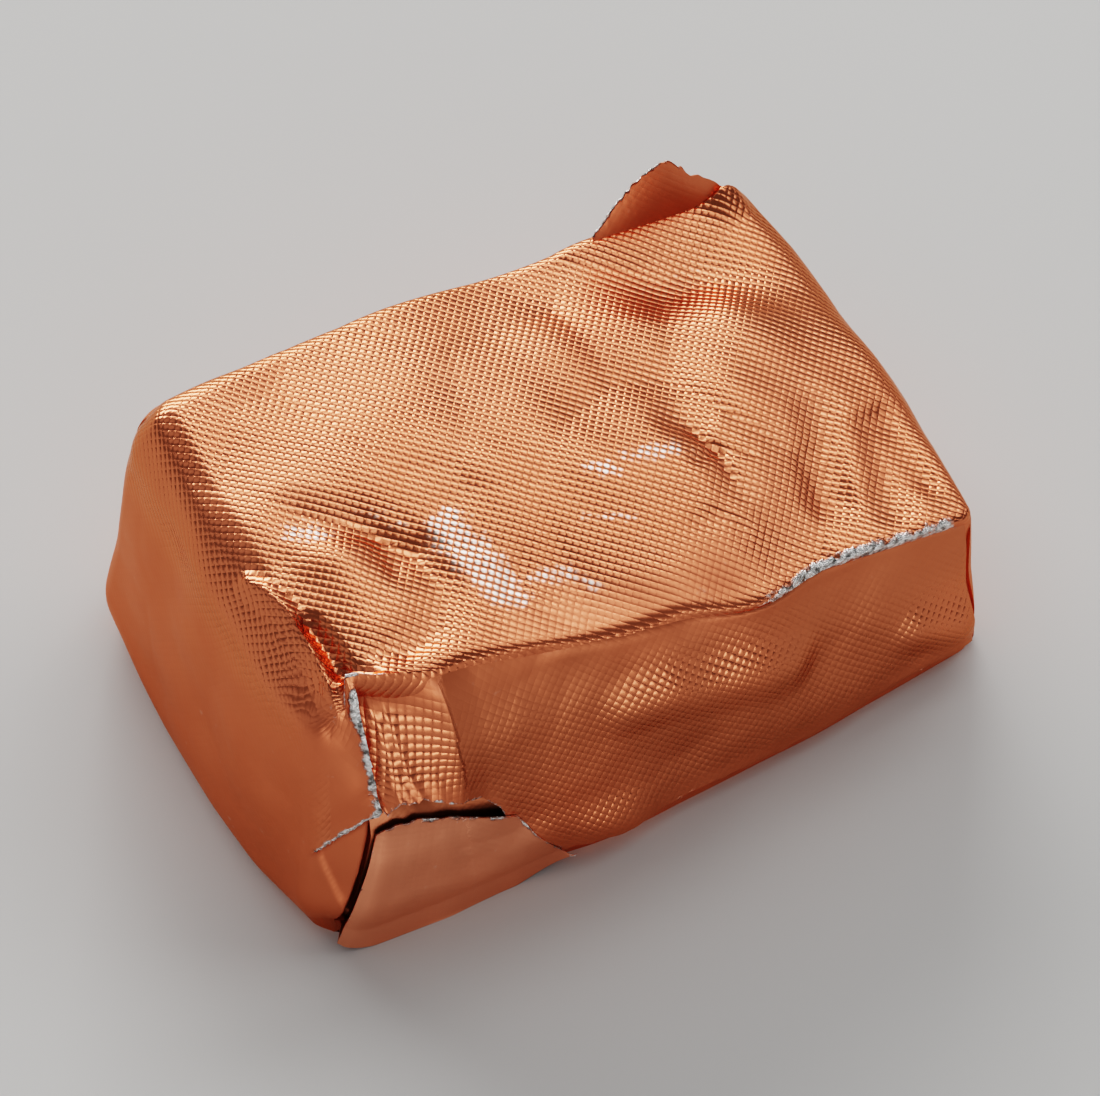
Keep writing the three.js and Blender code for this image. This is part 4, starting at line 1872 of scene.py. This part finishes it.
@dataclass(frozen=True)
class CopperFoil:
    """Copper-lacquered foil, embossed with fine square pillows and rubbed to silver at its folds, with
    painted highlight on the top, painted light on the ears and painted shade in the folds and on the flaps.

    The pitch and the depth of the embossing are in millimetres. The grains are in cells to the metre.
    """

    copper: Colour = (0.75, 0.225, 0.115, 1.0)
    deep_copper: Colour = (0.71, 0.195, 0.095, 1.0)
    silver: Colour = (0.93, 0.92, 0.91, 1.0)
    # Painted highlight: the pale colour of the top's highlight patches
    highlight_copper: Colour = (0.95, 0.84, 0.76, 1.0)
    # Painted shade: the dark copper that the colour turns to inside the folds and on the flaps
    painted_shade_tone: Colour = (0.5, 0.16, 0.08, 1.0)
    # Painted light: the lighter copper that the ears' colour is blended towards
    painted_light_copper: Colour = (0.93, 0.46, 0.31, 1.0)
    edge_tint: Colour = (0.95, 0.65, 0.48, 1.0)
    dark_silver: Colour = (0.17, 0.165, 0.16, 1.0)
    roughness: tuple[float, float] = (0.2, 0.28)
    smooth_roughness: float = 0.24
    pitch: float = 0.373
    emboss_depth: float = 0.023
    fine_crinkle: float = 0.4
    worn_crinkle: float = 7.0
    coat: float = 0.15
    coat_roughness: float = 0.2
    wear_grain: float = 1400.0
    mottle_grain: float = 260.0
    speck_grain: float = 3000.0
    patch_grain: float = 1500.0
    gloss_grain: float = 420.0
    crinkle_grain: float = 700.0
    sharp_grain: float = 6000.0
    specks: tuple[float, float] = (0.35, 0.55)
    patches: tuple[float, float] = (0.25, 0.8)
    patch_spread: float = 1.4
    crest_share: float = 1.5

    def material(self) -> bpy.types.Material:
        """Builds the finish.

        Returns:
            The new material.
        """
        foil = bpy.data.materials.new("copper_foil")
        foil.use_nodes = True
        bench = NodeBench(foil.node_tree)
        shader = foil.node_tree.nodes["Principled BSDF"]
        shader.inputs["Metallic"].default_value = 1.0
        shader.inputs["Specular Tint"].default_value = self.edge_tint
        shader.inputs["Coat Weight"].default_value = self.coat
        shader.inputs["Coat Roughness"].default_value = self.coat_roughness
        place = bench.add("ShaderNodeTexCoord", (-1600.0, 200.0)).outputs["Object"]
        sheet = bench.add("ShaderNodeUVMap", (-1600.0, -300.0), uv_map="sheet").outputs["UV"]
        wear = self.attribute(bench, "wear", (-1600.0, 0.0))
        emboss = self.attribute(bench, "emboss", (-1600.0, -500.0))
        mask = self.wear_mask(bench, place, wear)
        height = self.embossing(bench, sheet, emboss)
        self.colour(bench, shader, place, mask, self.highlight_crests(bench, place, height))
        self.gloss(bench, shader, place, emboss)
        self.relief(bench, shader, place, height, mask)
        return foil

    @staticmethod
    def attribute(bench: NodeBench, name: str, place: tuple[float, float]) -> Socket:
        """Reads one of the numbers stored on the mesh."""
        return bench.add("ShaderNodeAttribute", place, attribute_name=name).outputs["Fac"]

    def wear_mask(self, bench: NodeBench, place: Socket, wear: Socket) -> Socket:
        """Places the silver wear.

        Args:
            bench: The material's nodes.
            place: The place on the object.
            wear: The stored wear.

        Returns:
            The mask of silver.
        """
        group = bench.add("ShaderNodeGroup", (-1300.0, 0.0), node_tree=rubbed_wear())
        group.inputs["Grain"].default_value = self.wear_grain
        bench.link(place, group.inputs["Place"])
        bench.link(wear, group.inputs["Wear"])
        return group.outputs["Mask"]

    def embossing(self, bench: NodeBench, sheet: Socket, emboss: Socket) -> Socket:
        """Lays the embossing on the flat sheet.

        Args:
            bench: The material's nodes.
            sheet: The place on the flat sheet.
            emboss: The stored strength of the embossing.

        Returns:
            The height of the embossing, 0 on the pillows' crests and below 0 in the grooves.
        """
        group = bench.add("ShaderNodeGroup", (-1200.0, -400.0), node_tree=pin_embossing())
        group.inputs["Cells per mm"].default_value = 1.0 / self.pitch
        bench.link(sheet, group.inputs["Sheet"])
        bench.link(emboss, group.inputs["Strength"])
        bench.link(self.attribute(bench, "columns", (-1600.0, -700.0)), group.inputs["Columns"])
        return group.outputs["Height"]

    def highlight_crests(self, bench: NodeBench, place: Socket, height: Socket) -> Socket:
        """Paints highlight into the colour in pale patches, on the crests of the pillows.

        Args:
            bench: The material's nodes.
            place: The place on the object.
            height: The height of the embossing.

        Returns:
            The mask of painted highlight.
        """
        painted_highlight = self.attribute(bench, "painted_highlight", (-1600.0, 400.0))
        patchy = bench.noise(place, self.patch_grain, 3.0, (-1000.0, 1050.0))
        uneven = bench.math("SUBTRACT", patchy, 0.5, (-820.0, 1050.0))
        wide = bench.math("MULTIPLY", uneven, self.patch_spread, (-660.0, 1050.0))
        broken = bench.math("ADD", painted_highlight, wide, (-500.0, 1050.0))
        thin = bench.stretch(broken, self.patches, (-340.0, 1050.0), kind="SMOOTHSTEP")
        below = bench.math("MULTIPLY", height, self.crest_share, (-660.0, 1250.0))
        crest = bench.math("ADD", below, 1.0, (-500.0, 1250.0), clamp=True)
        return bench.math("MULTIPLY", thin, crest, (-180.0, 1050.0))

    def colour(self, bench: NodeBench, shader: bpy.types.Node, place: Socket, mask: Socket,
               thin: Socket) -> None:
        """Mottles the copper lacquer, rubs it to silver, and paints highlight, light and shade into it:
        pale highlight patches on the top, light on the ears, shade inside the folds and on the flaps.

        Args:
            bench: The material's nodes.
            shader: The foil's shader.
            place: The place on the object.
            mask: The mask of silver.
            thin: The mask of painted highlight.
        """
        mottle = bench.noise(place, self.mottle_grain, 4.0, (-1000.0, 500.0))
        lacquer = bench.blend(mottle, self.deep_copper, self.copper, (-600.0, 500.0))
        # Painted light: the ears' stored value lightens the colour
        lightened = self.attribute(bench, "matt", (-1000.0, 650.0))
        matt = bench.blend(lightened, lacquer, self.painted_light_copper, (-520.0, 500.0))
        # Painted highlight: the colour turns pale in the top's highlight patches
        pale = bench.blend(thin, matt, self.highlight_copper, (-450.0, 650.0))
        # The silver wear is broken into random lighter and darker specks
        grain = bench.noise(place, self.speck_grain, 3.0, (-1000.0, 800.0))
        speckle = bench.stretch(grain, self.specks, (-800.0, 800.0))
        metal = bench.blend(speckle, self.dark_silver, self.silver, (-600.0, 800.0))
        rubbed = bench.blend(mask, pale, metal, (-300.0, 500.0))
        # Painted shade: the colour darkens towards a dark copper where shade is stored
        shade = self.attribute(bench, "shade", (-450.0, 900.0))
        inside = bench.blend(shade, rubbed, self.painted_shade_tone, (-150.0, 500.0))
        bench.link(inside, shader.inputs["Base Color"])

    def gloss(self, bench: NodeBench, shader: bpy.types.Node, place: Socket, emboss: Socket) -> None:
        """Varies the gloss of the lacquer, which is duller where the foil isn't embossed.

        Args:
            bench: The material's nodes.
            shader: The foil's shader.
            place: The place on the object.
            emboss: The stored strength of the embossing.
        """
        noise = bench.noise(place, self.gloss_grain, 5.0, (-1000.0, 200.0))
        spread = bench.stretch(noise, (0.3, 0.7), (-700.0, 200.0), to=self.roughness)
        flat = bench.math("SUBTRACT", 1.0, emboss, (-900.0, -40.0))
        dull = bench.math("MULTIPLY", flat, self.smooth_roughness, (-700.0, -40.0))
        bench.link(bench.math("ADD", spread, dull, (-450.0, 200.0)), shader.inputs["Roughness"])

    def relief(self, bench: NodeBench, shader: bpy.types.Node, place: Socket, height: Socket,
               mask: Socket) -> None:
        """Embosses the foil, with a fine crinkle over it and a sharper one where it is worn.

        Args:
            bench: The material's nodes.
            shader: The foil's shader.
            place: The place on the object.
            height: The height of the embossing.
            mask: The mask of silver.
        """
        crinkle = bench.noise(place, self.crinkle_grain, 4.0, (-1200.0, -650.0))
        fine = bench.math("MULTIPLY", crinkle, self.fine_crinkle, (-900.0, -650.0))
        sharp = bench.noise(place, self.sharp_grain, 2.0, (-1200.0, -850.0))
        masked = bench.math("MULTIPLY", sharp, mask, (-1000.0, -850.0))
        worn = bench.math("MULTIPLY", masked, self.worn_crinkle, (-900.0, -850.0))
        crinkled = bench.math("ADD", fine, worn, (-800.0, -650.0))
        bump = bench.add("ShaderNodeBump", (-450.0, -450.0))
        bump.inputs["Strength"].default_value = 1.0
        bump.inputs["Distance"].default_value = self.emboss_depth * MM
        bench.link(bench.math("ADD", height, crinkled, (-700.0, -450.0)), bump.inputs["Height"])
        for socket in ("Normal", "Coat Normal"):
            bench.link(bump.outputs["Normal"], shader.inputs[socket])


@dataclass(frozen=True)
class PaleFloor:
    """A plain pale matt floor."""

    tone: Colour = (0.68, 0.675, 0.665, 1.0)
    roughness: float = 0.75

    def material(self) -> bpy.types.Material:
        """Builds the finish.

        Returns:
            The new material.
        """
        paint = bpy.data.materials.new("pale_floor")
        paint.use_nodes = True
        shader = paint.node_tree.nodes["Principled BSDF"]
        shader.inputs["Base Color"].default_value = self.tone
        shader.inputs["Roughness"].default_value = self.roughness
        return paint


@dataclass(frozen=True)
class SoftLight:
    """A soft light: its direction from the pack, its distance and size in metres, its power in watts."""

    name: str
    direction: tuple[float, float, float]
    far: float
    size: tuple[float, float]
    power: float
    tint: tuple[float, float, float]


LIGHTS = (
    SoftLight("back_window", (0.1, 0.92, 0.38), 1.2, (1.2, 0.36), 14.0, (1.0, 0.99, 0.97)),
    SoftLight("lamp", (0.52, 0.36, 0.77), 0.8, (0.45, 0.14), 0.8, (1.0, 1.0, 1.0)),
    SoftLight("ceiling", (0.6, 0.42, 0.69), 1.2, (1.8, 0.62), 2.7, (1.0, 0.99, 0.97)),
    SoftLight("strip", (0.6, -0.1, 0.79), 1.2, (0.9, 0.3), 1.5, (1.0, 0.99, 0.97)),
    SoftLight("front_window", (-0.15, -0.97, 0.14), 1.2, (1.0, 0.32), 3.0, (1.0, 0.99, 0.98)),
    SoftLight("left_wall", (-0.93, -0.05, 0.36), 1.2, (1.0, 0.5), 0.6, (1.0, 0.99, 0.98)),
    SoftLight("left_ceiling", (-0.45, 0.45, 0.77), 1.2, (1.0, 0.5), 0.5, (1.0, 0.99, 0.98)),
)


@dataclass
class Studio:
    """The floor, the soft lights and the camera, in metres, with the camera's lens in millimetres."""

    azimuth: float = -30.0
    elevation: float = 55.0
    distance: float = 0.26
    lens: float = 168.0
    sensor: float = 36.0
    clip: tuple[float, float] = (0.01, 20.0)
    target: tuple[float, float, float] = (0.0, -0.001, 0.0075)
    floor_size: float = 6.0
    room_tone: Colour = (0.95, 0.97, 1.0, 1.0)
    room_strength: float = 0.14

    def build(self) -> None:
        """Sets the floor, the lights, the world and the camera."""
        self.lay_floor()
        for light in LIGHTS:
            self.hang_light(light)
        self.light_world()
        self.set_camera()

    def lay_floor(self) -> None:
        """Lays the floor that the pack stands on."""
        deselect_all()
        bpy.ops.mesh.primitive_plane_add(size=self.floor_size)
        floor = bpy.context.object
        floor.name = "floor"
        floor.data.materials.append(PaleFloor().material())

    def hang_light(self, light: SoftLight) -> None:
        """Hangs one light that looks at the pack, with its width along the width of the picture.

        Args:
            light: The light.
        """
        data = bpy.data.lights.new(light.name, "AREA")
        data.shape = "RECTANGLE"
        data.size, data.size_y = light.size
        data.energy = light.power
        data.color = light.tint
        lamp = bpy.data.objects.new(light.name, data)
        bpy.context.scene.collection.objects.link(lamp)
        away = Vector(light.direction).normalized()
        turn = math.radians(self.azimuth)
        width = Vector((math.cos(turn), math.sin(turn), 0.0))
        side = (width - away * width.dot(away)).normalized()
        lamp.location = Vector(self.target) + away * light.far
        lamp.rotation_euler = Matrix((side, away.cross(side), away)).transposed().to_euler()

    def light_world(self) -> None:
        """Fills the room with an even pale light."""
        world = bpy.data.worlds.new("room")
        world.use_nodes = True
        room = world.node_tree.nodes["Background"]
        room.inputs["Color"].default_value = self.room_tone
        room.inputs["Strength"].default_value = self.room_strength
        bpy.context.scene.world = world
        view = bpy.context.scene.view_settings
        view.view_transform = "Filmic"
        view.look = "High Contrast"

    def set_camera(self) -> None:
        """Sets the camera at the picture's viewing angle."""
        data = bpy.data.cameras.new("camera")
        data.lens = self.lens
        data.sensor_width = self.sensor
        data.clip_start, data.clip_end = self.clip
        camera = bpy.data.objects.new("camera", data)
        bpy.context.scene.collection.objects.link(camera)
        turn, rise = math.radians(self.azimuth), math.radians(self.elevation)
        away = Vector((math.sin(turn) * math.cos(rise), -math.cos(turn) * math.cos(rise), math.sin(rise)))
        camera.location = Vector(self.target) + away * self.distance
        camera.rotation_euler = away.to_track_quat("Z", "Y").to_euler()
        bpy.context.scene.camera = camera


def dress(piece: bpy.types.Object, finish: bpy.types.Material) -> None:
    """Gives a piece its finish and its place in the frame.

    Args:
        piece: The finished mesh.
        finish: Its material.
    """
    piece.data.materials.clear()
    piece.data.materials.append(finish)
    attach(piece, BODY)
    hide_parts(CAD_NODE)
    triangles = sum(len(face.vertices) - 2 for face in piece.data.polygons)
    LOG.info("%s: %d vertices, %d triangles", piece.name, len(piece.data.vertices), triangles)


def main() -> None:
    """Builds the pack, dresses it and sets the studio."""
    logging.basicConfig(level=logging.INFO, format="%(name)s %(message)s")
    form = FoilForm()
    foil = CopperFoil().material()
    dress(FoilBody(form).build(), foil)
    for end in ENDS:
        dress(EndFlap(form, end).build(), foil)
        dress(EndEar(form, end).build(), foil)
    dress(BackLip(form).build(), foil)
    dress(BaseFlap(form).build(), foil)
    Studio().build()


if __name__ == "__main__":
    main()
